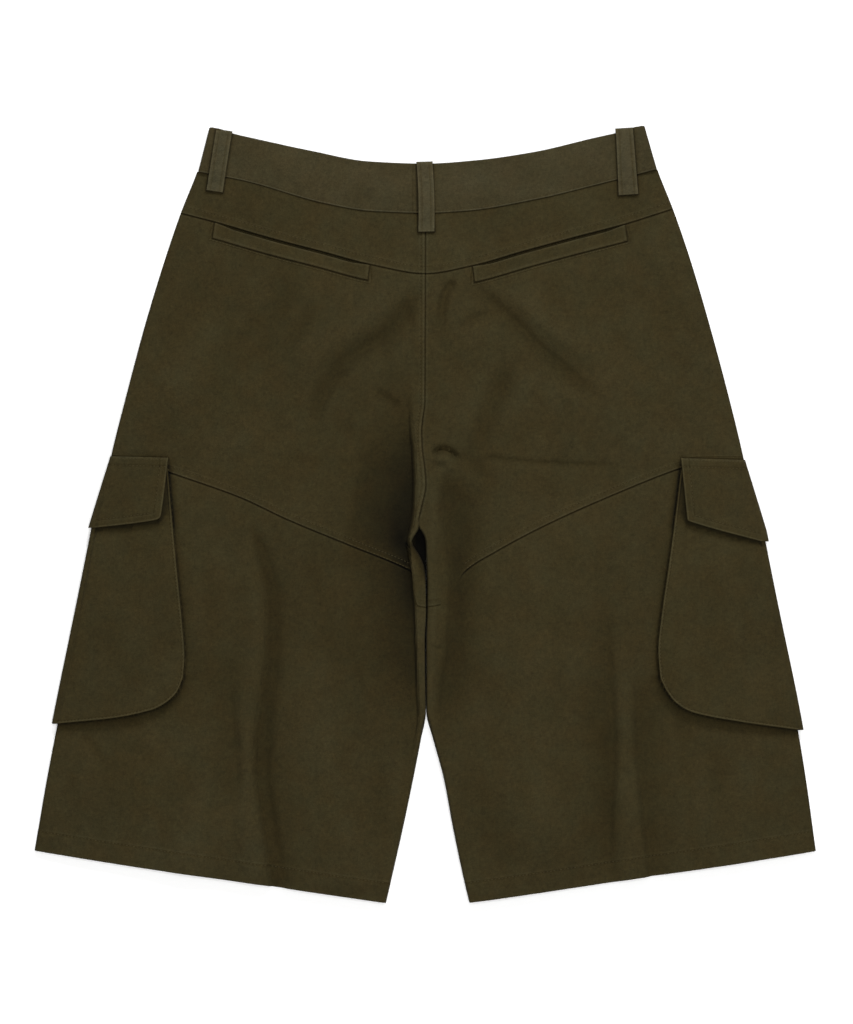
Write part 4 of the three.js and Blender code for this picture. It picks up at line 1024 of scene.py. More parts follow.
def wrapped(name, X, Y, zup, t_up, zdown, t_down, flare, s, arcs, wear_and_painted_shade):
    """Closed sheet over the leg, round its side and under it. zup: outer face on top, zdown: outer face underneath."""
    nr = X.shape[0]
    Zu = zup(X, Y)
    U = np.stack([X, Y, Zu], -1)
    Ui = np.stack([X, Y, Zu - t_up(X, Y)], -1)
    low = X[:, ::-1][:, ::3] if (X.shape[1] - 1) % 3 == 0 else X[:, ::-1][:, pick(X.shape[1], 3)]
    lowy = Y[:, ::-1][:, ::3] if (X.shape[1] - 1) % 3 == 0 else Y[:, ::-1][:, pick(X.shape[1], 3)]
    Zd = zdown(low, lowy)
    D = np.stack([low, lowy, Zd], -1)
    Di = np.stack([low, lowy, Zd + t_down], -1)
    a, b = U[:, -1], D[:, 0]
    ai, bi = Ui[:, -1], Di[:, 0]
    arc, arci = [], []
    for w in np.linspace(90, -90, arcs + 2)[1:-1] * math.pi / 180:
        zc, r = (a[:, 2] + b[:, 2]) / 2, (a[:, 2] - b[:, 2]) / 2
        rx = flare(a[:, 1])
        arc.append(np.stack([a[:, 0] + s * rx * np.cos(w), a[:, 1], zc + r * np.sin(w)], -1))
        zci, ri = (ai[:, 2] + bi[:, 2]) / 2, (ai[:, 2] - bi[:, 2]) / 2
        rxi = np.minimum(np.maximum(rx - t_down, 0.3), np.maximum(ri, 0.3))
        arci.append(np.stack([ai[:, 0] + s * rxi * np.cos(w), ai[:, 1], zci + ri * np.sin(w)], -1))
    outer = np.concatenate([U, np.stack(arc, 1), D], 1)
    inner = np.concatenate([Ui, np.stack(arci, 1), Di], 1)
    ri_, ci_ = pick(nr, 2), pick(outer.shape[1], 2, range(X.shape[1] - 3, X.shape[1] + arcs + 3))
    w = np.concatenate([wear_and_painted_shade, np.zeros((nr, outer.shape[1] - X.shape[1]))], 1)
    v, f = shell_data(outer, inner[np.ix_(ri_, ci_)], ri_, ci_)
    return (v, f), [w.ravel(), w[np.ix_(ri_, ci_)].ravel()]


POCKET_WALL, FLAP_WALL = 1.5, 1.7


def pocket_top(x, y, key, micro=True):
    """Outer face of the cargo pocket."""
    d, de, df = free_edge(x, y, key)
    lift = mix(1.6, 5.2, ease((20 - y) / 120))            # the pocket stands off the leg towards its foot
    lift = lift * mix(1.0, 0.35, ease((inward(x, y) * -1 + 46) / 44))
    fill = lift * (0.55 + 0.45 * np.exp(-(np.maximum(d, 0) / 30) ** 2)) + 0.9
    z = top(x, y, micro=False) + 0.4 + POCKET_WALL + fill
    z = z + folds(x, y, POCKET_FOLDS) + 0.35 * noise(x + 40, y, 52, 7) + 0.14 * noise(x, y, 19, 8) + 0.12 * crumple(x + 60, y)
    if micro:
        z = z - 0.75 * (1 - roll(d / 0.8)) - 0.20 * np.exp(-((d - 2.2) / 0.5) ** 2)
        z = z + 0.22 * np.exp(-((d - 1.2) / 1.0) ** 2)
        z = z + pucker(np.where(de < df, y, x), d - 5, 9.0, 0.12, 6, 61)
    return z


def flap_top_z(x, y, key, micro=True):
    e, t, f = FLAP_LINES[key]
    s = -1 if key == "left" else 1
    de = (x - e(y)) * s
    dt, df = t(x) - y, (y - f(x)) / np.sqrt(1 + slope(f, x) ** 2)
    d = np.minimum(de, df)
    away = ease(dt / 60)
    z = top(x, y, micro=False) + 2.6 + FLAP_WALL
    over = pocket_top(x, y, key, micro=False) + 0.5 + FLAP_WALL
    z = mix(np.maximum(z, over - 0.6), over, ease((dt - 4) / 24))
    z = z + away * mix(0.6, 2.9, ease(1 - df / 46)) * mix(1.0, 0.4, ease((40 - inward(x, y)) / 40))
    z = z + 0.7 * ease(1 - de / 22) * ease(dt / 30)
    z = z + 0.22 * noise(x, y + 30, 27, 9)
    if micro:
        edge = np.minimum(d, dt)
        z = z - 0.85 * (1 - roll(edge / 0.9)) - 0.22 * np.exp(-((d - 7.4) / 0.5) ** 2) - 0.22 * np.exp(-((dt - 8.2) / 0.5) ** 2)
        z = z - 0.16 * np.exp(-((dt - 2.0) / 0.45) ** 2)
        z = z + 0.28 * (1 - ease((d - 7.4) / 1.4))
        z = z + pucker(np.where(de < df, y, x), d - 6, 9.0, 0.12, 6, 71)
    return z


for key, s in (("left", -1), ("right", 1)):
    e, f = POCKET_LINES[key]
    X, Y = wrap_grid(e, f, lambda x: np.full_like(x, 40.0), side[key], s, NEAR_FREE, NEAR_FREE, [0, 1, 3], 2.2, 124)
    d, _, _ = free_edge(X, Y, key)
    # painted highlight on the pocket's rolled free edge, painted shade at the edge itself and in the stitch groove,
    # painted shade and light on its folds, dye noise
    wear_and_painted_shade = 1.05 * np.exp(-((d - 1.25) / 0.55) ** 2) - 0.9 * np.exp(-(d / 0.45) ** 2) - 0.55 * np.exp(-((d - 2.3) / 0.45) ** 2) + 0.07 * crumple(X, Y) + 0.08 * noise(X, Y, 38, 83) + 0.06 * noise(X, Y, 17, 84)
    wear_and_painted_shade = wear_and_painted_shade + 0.07 * folds(X, Y, POCKET_FOLDS)
    fe, ft, ff = FLAP_LINES[key]
    below = (ff(X) - Y) / np.sqrt(1 + slope(ff, X) ** 2)
    # painted shadow below the flap and beside its edge
    wear_and_painted_shade = wear_and_painted_shade - 0.52 * np.exp(-(np.maximum(below, 0) / 6.0) ** 2) - 0.6 * np.exp(-(np.maximum((fe(Y) - X) * s, 0) / 5.0) ** 2) * (below < 3)
    main, w0 = wrapped("pocket", X, Y, lambda x, y: pocket_top(x, y, key), lambda x, y: np.full_like(x, POCKET_WALL),
                       lambda x, y: np.maximum(under(x, y) - 0.5 - 1.4, 0.0), 1.4,
                       lambda y: mix(0.15, 4.6, ease((42 - y) / 54)) + 0.8 * ease((-20 - y) / 160), s, 9, wear_and_painted_shade)
    # gusset: a set-back wall from the leg up to the pocket, along its inner edge and foot
    ys = np.linspace(38, -150, 60)
    pts = [(float(e(q)) + s * 3.2, q) for q in ys]
    xs = np.linspace(float(e(-160)) + s * 6, float(side[key](-196)) - s * 4, 70)
    pts = [q for q in pts if q[1] > float(f(q[0])) + 4.0]
    pts += [(q, float(f(q)) + 3.2) for q in xs]
    gx, gy = np.array([q[0] for q in pts]), np.array([q[1] for q in pts])
    for _ in range(3):
        gx[1:-1] = (gx[:-2] + 2 * gx[1:-1] + gx[2:]) / 4
        gy[1:-1] = (gy[:-2] + 2 * gy[1:-1] + gy[2:]) / 4
    tx, ty = np.gradient(gx), np.gradient(gy)
    ln = np.hypot(tx, ty)
    nx, ny = -ty / ln * s, tx / ln * s
    lo = top(gx, gy, micro=False) + 0.1
    hi = pocket_top(gx, gy, key, micro=False) - POCKET_WALL - 0.05
    grid, grid_in = [], []
    for t in np.linspace(0, 1, 6):
        bulge = 1.1 * math.sin(math.pi * t)
        grid.append(np.stack([gx - nx * bulge, gy - ny * bulge, mix(lo, hi, t)], -1))
        grid_in.append(np.stack([gx - nx * (bulge - 0.8), gy - ny * (bulge - 0.8), mix(lo, hi, t)], -1))
    g, gi = np.array(grid), np.array(grid_in)
    ri, ci = np.arange(g.shape[0]), np.arange(g.shape[1])
    gv, gf = shell_data(g, gi, ri, ci)
    # the gusset is painted in shade
    ob = make(f"side_pocket_{key}", [main, (gv, gf)], w0 + [np.full(len(gv), -0.9)])
    PIECES[f"cargo_pocket_{key}"] = ob
    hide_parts(f"cargo_pocket_{key}")

    e, t, f = FLAP_LINES[key]
    X, Y = wrap_grid(e, f, t, side[key], s, NEAR_FREE, NEAR_FREE, [0, 0.06, 0.25, 0.5, 0.9, 1.5, 2.0, 2.5, 4, 6, 7.8, 8.2, 8.6, 10], 2.2, 66)
    de = (X - e(Y)) * s
    d = np.minimum(de, Y - f(X))
    dt = t(X) - Y
    # painted highlights on the flap's rolled edges, painted shade at the edge and in the stitch grooves, dye noise
    wear_and_painted_shade = 0.9 * np.exp(-((d - 1.1) / 0.6) ** 2) - 0.9 * np.exp(-(d / 0.4) ** 2) + 0.6 * np.exp(-((dt - 1.1) / 0.7) ** 2) - 0.5 * np.exp(-((d - 7.4) / 0.6) ** 2)
    wear_and_painted_shade = wear_and_painted_shade + 0.2 * np.exp(-((d - 6.2) / 0.6) ** 2) + 0.07 * crumple(X, Y)
    wear_and_painted_shade = wear_and_painted_shade - 0.45 * np.exp(-((dt - 8.2) / 0.6) ** 2) + 0.15 * np.exp(-((dt - 6.9) / 0.6) ** 2) + 0.08 * noise(X, Y, 26, 85)
    main, w0 = wrapped("flap", X, Y, lambda x, y: flap_top_z(x, y, key), lambda x, y: np.full_like(x, FLAP_WALL),
                       lambda x, y: np.maximum(under(x, y) - 0.5 - 1.4 - 0.5 - 1.6, 0.0), 1.6,
                       lambda y: mix(0.5, 7.7, np.clip((54 - y) / 70, 0, 1)), s, 9, wear_and_painted_shade)
    ob = make(f"flap_{key}", [main], w0)
    PIECES[f"pocket_flap_{key}"] = ob
    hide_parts(f"pocket_flap_{key}")

# ---------------------------------------------------------------- welts
WELTS = [
    dict(name="left", x0=-196.5, x1=-51.5, depth0=15.2, depth1=14.8),
    dict(name="right", x0=186.0, x1=43.5, depth0=15.8, depth1=15.4),
]
for w in WELTS:
    key = w["name"]
    n, m = 90, 16
    long_ = abs(w["x1"] - w["x0"])
    near_end = np.array([0, 0.15, 0.35, 0.6, 0.9, 1.3, 1.8, 2.5]) / long_
    u = np.r_[near_end, np.linspace(near_end[-1], 1 - near_end[-1], n - 14)[1:-1], 1 - near_end[::-1]]
    along = mix(w["x0"], w["x1"], u)
    depth = mix(w["depth0"], w["depth1"], u)
    openness = ease(u / 0.14) * ease((1 - u) / 0.14)
    start = 0.5 + 1.7 * openness
    sl = slope(yoke_seam, along)
    k = np.sqrt(1 + sl * sl)
    vs = np.array([0, 0.02, 0.05, 0.1, 0.16, 0.26, 0.38, 0.5, 0.62, 0.74, 0.82, 0.87, 0.91, 0.94, 0.965, 0.985, 1.0])
    rows, rows_in, wr = [], [], []
    for v in vs:
        d = mix(start, depth, v)
        x = along + LEAN * sl / k * d
        y = yoke_seam(x) - d * k
        y = yoke_seam(x) - d * np.sqrt(1 + slope(yoke_seam, x) ** 2)
        end = np.minimum(np.abs(x - x[0]), np.abs(x[-1] - x))
        e = np.minimum(np.minimum((d - start), (depth - d)), end)
        z = top(x, y, micro=False) + 1.15 + 0.5 * openness * (1 - v) ** 2
        z = z - 0.7 * (1 - roll(e / 0.8)) + 0.1 * noise(x, y, 12, 13)
        rows.append(np.stack([x, y, z], -1))
        rows_in.append(np.stack([x, y, np.minimum(top(x, y, micro=False) + 0.1, z - 0.15)], -1))
        eb = np.minimum(depth - d, end)
        # painted highlight along the welt's upper lip and above its foot, painted shade along its foot and ends
        wr.append(np.exp(-(np.maximum(d - start, 0) / 1.0) ** 2) * 0.6 - 1.35 * np.exp(-(eb / 0.65) ** 2)
                  + 0.42 * np.exp(-((eb - 1.9) / 0.8) ** 2) + 0.10 * noise(x, y, 14, 87))
    outer, inner = np.array(rows), np.array(rows_in)
    ri, ci = np.arange(len(vs)), np.arange(n)
    v_, f_ = shell_data(outer, inner, ri, ci)
    wr = np.array(wr)
    ob = make(f"pocket_welt_{key}", [(v_, f_)], [wr.ravel(), wr.ravel()])
    PIECES[f"welt_{key}"] = ob
    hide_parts(f"welt_{key}")

# ---------------------------------------------------------------- belt loops
LOOP_ACROSS = np.array([0, 0.012, 0.025, 0.045, 0.065, 0.09, 0.13, 0.2, 0.24, 0.28, 0.4, 0.5, 0.6, 0.72, 0.76, 0.8, 0.87, 0.91, 0.935, 0.955, 0.975, 0.988, 1.0])
for l in LOOPS:
    back = "back" in l["node"]
    n = 48
    u = np.r_[0, 0.004, 0.015, 0.035, np.linspace(0.06, 0.94, n), 0.965, 0.985, 0.996, 1.0]
    cx, cy = mix(l["x0"], l["x1"], u), mix(l["y0"], l["y1"], u)
    dx, dy = l["x1"] - l["x0"], l["y1"] - l["y0"]
    ln = math.hypot(dx, dy)
    nx, ny = -dy / ln, dx / ln
    width = mix(l["w0"], l["w1"], u)
    if l["node"].endswith("centre"):
        cx = cx + 0.9 * np.sin(np.pi * u) * 1.0
    rows, rows_in, wr = [], [], []
    for j in LOOP_ACROSS:
        x, y = cx + nx * width * (j - 0.5), cy + ny * width * (j - 0.5)
        e = np.minimum(np.minimum(j, 1 - j) * width, np.minimum(u, 1 - u) * ln)
        prof = -0.75 * (1 - roll(e / 0.8)) - 0.16 * np.exp(-((np.minimum(j, 1 - j) * width - 3.6) / 0.5) ** 2)
        if back:
            mid = cy - 0 * x
            base = top(cx, cy, micro=False) + BAND_RISE
            off = mix(0.0, -0.6, ease((u - 0.78) / 0.1))
            arch = l["bow"] * np.sin(np.pi * np.clip((u - 0.02) / 0.86, 0, 1)) ** 0.8
            z = base + 1.9 + off + arch + prof + 0.5 * ease((u - 0.9) / 0.05) - l["curl"] * (1 - roll(u / 0.05))
            zi = z - 1.6
        else:
            b = under(x, y)
            z = b - 0.1
            zi = b - 1.45 - prof * 0.4
        rows.append(np.stack([x, y, z], -1))
        rows_in.append(np.stack([x, y, zi], -1))
        # loops painted lighter overall and on their rolled edges as painted highlight, with painted shade at the edges
        # and in the stitch grooves
        wr.append(0.40 + 0.62 * np.exp(-((e - 0.9) / 0.6) ** 2) - 0.9 * np.exp(-(e / 0.35) ** 2) - 0.5 * np.exp(-((np.minimum(j, 1 - j) * width - 3.6) / 0.5) ** 2))
    outer, inner = np.array(rows), np.array(rows_in)
    if not back:
        outer[..., 2], inner[..., 2] = outer[..., 2], np.maximum(inner[..., 2], 0.0)
    ri, ci = np.arange(outer.shape[0]), np.arange(outer.shape[1])
    v_, f_ = shell_data(outer, inner, ri, ci)
    wr = np.array(wr)
    ob = make(l["node"].replace("belt_loop", "loop"), [(v_, f_)], [wr.ravel(), wr.ravel()])
    PIECES[l["node"]] = ob
    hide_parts(l["node"])


# ---------------------------------------------------------------- stitches
def stitch_run(points, zf, length=2.5, gap=0.75, radius=0.27, lift=0.06):
    """Small rounded stitches along a line of (x, y) points."""
    p = np.asarray(points, float)
    seg = np.hypot(*np.diff(p, axis=0).T)
    arc = np.r_[0, np.cumsum(seg)]
    starts = np.arange(0.6, arc[-1] - length, length + gap)
    if not len(starts):
        return np.zeros((0, 3)), []
    V, F = [], []
    prof = [(0.0, 0.0), (0.18, 0.85), (0.5, 1.0), (0.82, 0.85), (1.0, 0.0)]
    ts = np.array([q[0] for q in prof])
    cs = starts[:, None] + ts[None, :] * length
    x, y = np.interp(cs, arc, p[:, 0]), np.interp(cs, arc, p[:, 1])
    z = zf(x, y)
    tx, ty = x[:, -1] - x[:, 0], y[:, -1] - y[:, 0]
    ln = np.hypot(tx, ty)
    nx, ny = -ty / ln, tx / ln
    n = len(starts)
    ring = 6
    ang = np.arange(ring) * 2 * np.pi / ring
    count = 2 + 3 * ring
    for k in range(n):
        zb = z[k] + lift
        b = k * count
        V.append((x[k, 0], y[k, 0], zb[0] - 0.18))
        for j in (1, 2, 3):
            r = radius * prof[j][1]
            for a in ang:
                V.append((x[k, j] + nx[k] * r * math.cos(a), y[k, j] + ny[k] * r * math.cos(a), zb[j] + r * 0.8 * math.sin(a)))
        V.append((x[k, -1], y[k, -1], zb[-1] - 0.18))
        for q in range(ring):
            q1 = (q + 1) % ring
            F.append((b, b + 1 + q, b + 1 + q1))
            for j in (0, 1):
                F.append((b + 1 + j * ring + q, b + 1 + (j + 1) * ring + q, b + 1 + (j + 1) * ring + q1, b + 1 + j * ring + q1))
            F.append((b + 1 + 2 * ring + q, b + count - 1, b + 1 + 2 * ring + q1))
    return np.array(V), F


def offset_line(f, xs, d):
    """Points a distance d above the line y = f(x)."""
    s = slope(f, xs)
    k = np.sqrt(1 + s * s)
    return np.stack([xs - d * s / k, f(xs) + d / k], -1)


def stitched(name, parts):
    parts = [q for q in parts if len(q[1])]
    ob = make(name, parts)
    PIECES[name] = ob
    return ob


stitch_parts = {k: [] for k in ("yoke", "slant", "centre", "hem", "band", "pocket", "flap", "welt")}
for key, s in (("left", 1), ("right", -1)):
    out = side[key]
    x_edge = float(out(270)) + s * 5
    xs = np.linspace(x_edge, -s * 5.0, 260)
    stitch_parts["yoke"].append(stitch_run(offset_line(yoke_seam, xs, YOKE_STITCH), top))
    stitch_parts["yoke"].append(stitch_run(offset_line(yoke_seam, xs, 1.3), top))
    e = POCKET_LINES[key][0]
    xs = np.linspace(float(e(40)) + s * 2, -s * 17 if key == "left" else 38.0, 260)
    stitch_parts["slant"].append(stitch_run(offset_line(slant[key], xs, SLANT_STITCH), top))
    stitch_parts["slant"].append(stitch_run(offset_line(slant[key], xs, 1.3), top))
    xs = np.linspace(float(out(-312)) + s * 4, float(inner_back[key](-345)) - s * 3, 380)
    pts = np.stack([xs, hem[key](xs) + HEM_HEIGHT], -1)
    stitch_parts["hem"].append(stitch_run(pts, top))
ys = np.linspace(259, -4, 300)
stitch_parts["centre"].append(stitch_run(np.stack([inner_back["left"](ys) - CB_STITCH, ys], -1), top))
stitch_parts["centre"].append(stitch_run(np.stack([inner_back["left"](ys) - 1.1, ys], -1), top))
for key, s in (("left", -1), ("right", 1)):
    xs = np.linspace(s * 9.5, s * 203.0, 260)
    v = 1 - 2.0 / 45

    def bz(x, y):
        z = band_top(x, y, np.full_like(x, 43.0), np.full_like(x, 2.0))
        xe = mix(-201.3, -211.8, v) + 3.3 if s < 0 else mix(204.0, 215.6, v) - 3.3
        return mix(z, 6.6, ease(1 - np.abs(xe - x) / 34.0))

    pts = np.stack([xs, mix(waist_back(xs), band_seam(xs) + 0.15, v)], -1)
    stitch_parts["band"].append(stitch_run(pts, bz))
    # pocket: along the free edge
    e, f = POCKET_LINES[key]
    ys = np.linspace(-6, -150, 120)
    pts = [(float(e(q)) + s * 2.2, q) for q in ys if True]
    pts = [q for q in pts if q[1] > float(f(q[0])) + 3.4]
    xs = np.linspace(float(e(-160)) + s * 5, float(side[key](-196)) - s * 1, 120)
    pts += [(q, float(f(q)) + 2.2 * math.sqrt(1 + float(slope(f, q)) ** 2)) for q in xs if abs(q) > abs(pts[-1][0])]
    stitch_parts["pocket"].append(stitch_run(pts, lambda x, y: pocket_top(x, y, key)))
    e, t, f = FLAP_LINES[key]
    fz = lambda x, y: flap_top_z(x, y, key)
    ys = np.linspace(float(t(float(e(50)))) - 8.2, float(f(float(e(0)))) + 8.5, 50)
    stitch_parts["flap"].append(stitch_run([(float(e(q)) + s * 7.4, q) for q in ys], fz))
    xs = np.linspace(float(e(0)) + s * 7.4, float(side[key](-10)) + 0 * s, 60)
    stitch_parts["flap"].append(stitch_run([(q, float(f(q)) + 7.6) for q in xs], fz))
    xs = np.linspace(float(e(50)) + s * 1.5, float(side[key](48)), 60)
    stitch_parts["flap"].append(stitch_run([(q, float(t(q)) - 8.2) for q in xs], fz))
    stitch_parts["flap"].append(stitch_run([(q, float(t(q)) - 2.0) for q in xs], fz))
for w in WELTS:
    def around(d, x0, x1):
        xs = np.linspace(x0, x1, 120)
        return offset_line(yoke_seam, xs, -d)
    sgn = 1 if w["x1"] > w["x0"] else -1
    stitch_parts["welt"].append(stitch_run(around(w["depth0"] + 1.7, w["x0"] - sgn * 1.6, w["x1"] + sgn * 1.6), top))

names = {
    "yoke": ("yoke_stitches", "twill"), "slant": ("leg_seam_stitches", "twill"), "centre": ("centre_seam_stitches", "twill"),
    "hem": ("hem_stitches", "twill"), "band": ("waistband_stitches", "twill_band"), "pocket": ("pocket_stitches", "twill_pocket"),
    "flap": ("flap_stitches", "twill_pocket"), "welt": ("welt_stitches", "twill_pocket"),
}
STITCHES = {}
for k, (name, slot) in names.items():
    STITCHES[k] = (stitched(name, stitch_parts[k]), slot)

# ---------------------------------------------------------------- zip tape and button
zy = np.linspace(249, 99, 60)
zx = np.linspace(-11.5, 12.5, 9)
X, Y = np.meshgrid(zx, zy)
Z = under(X, Y) + CLOTH + 0.35 + 0.5 * np.exp(-((X - 0.5) / 3.2) ** 2)
outer = np.stack([X, Y, Z + 0.55], -1)
inner = np.stack([X, Y, under(X, Y) + CLOTH + 0.3], -1)
v_, f_ = shell_data(outer, inner, np.arange(60), np.arange(9))
PIECES["fly_zip"] = make("zip_strip", [(v_, f_)])
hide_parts("fly_zip")


# ---------------------------------------------------------------- materials
def twill(name, light, stitch=False):
    """Dark olive brushed twill: fine diagonal rib, uneven dye, soft nap. A vertex attribute lightens and darkens the
    colour: some edge wear and dye patches, and mostly painted highlights and painted shade.
    """
    m = bpy.data.materials.new(name)
    m.use_nodes = True
    nt = m.node_tree
    nt.nodes.clear()
    N, L = nt.nodes.new, nt.links.new
    out = N("ShaderNodeOutputMaterial")
    b = N("ShaderNodeBsdfPrincipled")
    L(b.outputs[0], out.inputs[0])
    b.inputs["Roughness"].default_value = 0.93
    b.inputs["Specular IOR Level"].default_value = 0.08
    b.inputs["Sheen Weight"].default_value = 0.006
    b.inputs["Sheen Roughness"].default_value = 0.55
    b.inputs["Sheen Tint"].default_value = (0.75, 0.72, 0.58, 1)
    co = N("ShaderNodeTexCoord")

    def tex(scale, detail, rough, sx=1.0, sy=1.0, rot=0.0):
        mp = N("ShaderNodeMapping")
        mp.inputs["Scale"].default_value = (sx, sy, 1)
        mp.inputs["Rotation"].default_value = (0, 0, rot)
        L(co.outputs["Object"], mp.inputs[0])
        t = N("ShaderNodeTexNoise")
        t.inputs["Scale"].default_value = scale
        t.inputs["Detail"].default_value = detail
        t.inputs["Roughness"].default_value = rough
        L(mp.outputs[0], t.inputs["Vector"])
        return t

    def math_(op, a, c=None, d=None):
        n = N("ShaderNodeMath")
        n.operation = op
        for k, q in enumerate((a, c, d)):
            if q is None:
                continue
            if isinstance(q, (int, float)):
                n.inputs[k].default_value = q
            else:
                L(q, n.inputs[k])
        return n.outputs[0]

    # uneven dye over the cloth, slubs along the warp, fine grain
    big = tex(11, 3, 0.55)
    mid = tex(105, 5, 0.7)
    slub = tex(520, 3, 0.7, 1.0, 0.45)
    weft = tex(760, 3, 0.7, 0.3, 1.0)
    grain = tex(1500, 2, 0.7)
    v = math_("MULTIPLY_ADD", big.outputs["Fac"], 0.26, -0.13)
    v = math_("ADD", v, math_("MULTIPLY_ADD", mid.outputs["Fac"], 0.46, -0.23))
    mott = tex(330, 3, 0.6)
    v = math_("ADD", v, math_("MULTIPLY_ADD", mott.outputs["Fac"], 0.55, -0.275))
    v = math_("ADD", v, math_("MULTIPLY_ADD", slub.outputs["Fac"], 0.50, -0.25))
    v = math_("ADD", v, math_("MULTIPLY_ADD", weft.outputs["Fac"], 0.46, -0.23))
    v = math_("ADD", v, math_("MULTIPLY_ADD", grain.outputs["Fac"], 1.20, -0.60))
    # vertex attribute: painted shade darkens and painted highlights lighten the colour; light painted shade turns
    # warmer, deep painted shade greener and bluer
    at = N("ShaderNodeAttribute")
    at.attribute_name = "wear_and_painted_shade"
    wear_and_painted_shade = math_("MULTIPLY", at.outputs["Fac"], 0.55)
    v = math_("MULTIPLY", math_("ADD", v, 1.0), math_("MAXIMUM", math_("ADD", wear_and_painted_shade, 1.0), 0.03))
    dark = math_("MINIMUM", math_("MAXIMUM", math_("MULTIPLY", wear_and_painted_shade, -1.0), -0.2), 0.8)
    dark2 = math_("MULTIPLY", dark, dark)
    green = math_("ADD", math_("MULTIPLY_ADD", dark, -0.20, 1.0), math_("MULTIPLY", dark2, 0.30))
    blue = math_("ADD", math_("MULTIPLY_ADD", dark, -0.80, 1.0), math_("MULTIPLY", dark2, 1.10))
    shade = N("ShaderNodeCombineXYZ")
    shade.inputs[0].default_value = 1.0
    L(green, shade.inputs[1])
    L(blue, shade.inputs[2])
    # twill rib, about 0.6 mm
    mp = N("ShaderNodeMapping")
    mp.inputs["Rotation"].default_value = (0, 0, math.radians(62))
    L(co.outputs["Object"], mp.inputs[0])
    wave = N("ShaderNodeTexWave")
    wave.wave_type = "BANDS"
    wave.bands_direction = "X"
    wave.wave_profile = "SIN"
    wave.inputs["Scale"].default_value = 2 * math.pi / 0.62e-3 / (2 * math.pi) / 3.18
    wave.inputs["Distortion"].default_value = 1.2
    wave.inputs["Detail"].default_value = 1.0
    wave.inputs["Detail Scale"].default_value = 0.6
    L(mp.outputs[0], wave.inputs["Vector"])
    rib = math_("MULTIPLY_ADD", wave.outputs["Fac"], 0.14, -0.07)
    v = math_("ADD", v, rib)
    base = N("ShaderNodeMix")
    base.data_type = "RGBA"
    c0, c1 = light
    base.inputs["A"].default_value = (*c0, 1)
    base.inputs["B"].default_value = (*c1, 1)
    hue = tex(46, 3, 0.6)
    ramp = N("ShaderNodeMapRange")
    ramp.inputs["From Min"].default_value = 0.35
    ramp.inputs["From Max"].default_value = 0.65
    L(hue.outputs["Fac"], ramp.inputs["Value"])
    L(ramp.outputs[0], base.inputs["Factor"])
    sc = N("ShaderNodeVectorMath")
    sc.operation = "SCALE"
    L(base.outputs["Result"], sc.inputs[0])
    L(v, sc.inputs["Scale"])
    tint = N("ShaderNodeVectorMath")
    tint.operation = "MULTIPLY"
    L(sc.outputs[0], tint.inputs[0])
    L(shade.outputs[0], tint.inputs[1])
    L(tint.outputs[0], b.inputs["Base Color"])
    # bump: rib, yarn and nap
    hgt = math_("ADD", math_("MULTIPLY", wave.outputs["Fac"], 0.5), math_("MULTIPLY", slub.outputs["Fac"], 0.5))
    hgt = math_("ADD", hgt, math_("MULTIPLY", grain.outputs["Fac"], 0.6))
    crease = tex(230, 3, 0.6)
    hgt = math_("ADD", hgt, math_("MULTIPLY", crease.outputs["Fac"], 2.4))
    bump = N("ShaderNodeBump")
    bump.inputs["Strength"].default_value = 0.5
    bump.inputs["Distance"].default_value = 0.00022
    L(hgt, bump.inputs["Height"])
    L(bump.outputs[0], b.inputs["Normal"])
    return m


OLIVE = ((0.0331, 0.0247, 0.0088), (0.0310, 0.0252, 0.0096))
OLIVE_BAND = ((0.0386, 0.0302, 0.0131), (0.0366, 0.0307, 0.0139))
OLIVE_POCKET = ((0.0328, 0.0246, 0.0087), (0.0308, 0.0250, 0.0095))
THREAD = ((0.0520, 0.0410, 0.0180), (0.0500, 0.0405, 0.0180))
mat = {
    "twill": twill("olive_twill", OLIVE),
    "twill_band": twill("olive_twill_pressed", OLIVE_BAND),
    "twill_pocket": twill("olive_twill_pocket", OLIVE_POCKET),
}
mat_thread = twill("tonal_thread", THREAD)
mat_tape = twill("zip_tape_weave", ((0.025, 0.020, 0.011), (0.022, 0.018, 0.010)))


def horn(name):
    m = bpy.data.materials.new(name)
    m.use_nodes = True
    nt = m.node_tree
    b = nt.nodes["Principled BSDF"]
    b.inputs["Roughness"].default_value = 0.38
    co = nt.nodes.new("ShaderNodeTexCoord")
    t = nt.nodes.new("ShaderNodeTexNoise")
    t.inputs["Scale"].default_value = 260
    t.inputs["Detail"].default_value = 4
    nt.links.new(co.outputs["Object"], t.inputs["Vector"])
    r = nt.nodes.new("ShaderNodeValToRGB")
    r.color_ramp.elements[0].color = (0.010, 0.008, 0.005, 1)
    r.color_ramp.elements[1].color = (0.035, 0.026, 0.014, 1)
    nt.links.new(t.outputs["Fac"], r.inputs[0])
    nt.links.new(r.outputs[0], b.inputs["Base Color"])
    return m


SLOT = {}
for n in PIECES:
    if n.startswith(("yoke", "back", "front")) and "stitch" not in n:
        SLOT[n] = "twill"
    elif n.startswith(("waistband", "belt_loop")) and "stitch" not in n:
        SLOT[n] = "twill_band"
    elif n.startswith(("cargo", "pocket_flap", "welt")) and "stitch" not in n:
        SLOT[n] = "twill_pocket"
for n, slot in SLOT.items():
    ob = PIECES[n]
    ob.data.materials.append(mat[slot])
    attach(ob, "root")
for ob, slot in STITCHES.values():
    ob.data.materials.append(mat_thread)
    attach(ob, "root")
PIECES["fly_zip"].data.materials.append(mat_tape)
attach(PIECES["fly_zip"], "root")
button = bpy.data.objects["waist_button"]
button.data.materials.clear()
button.data.materials.append(horn("horn_button"))

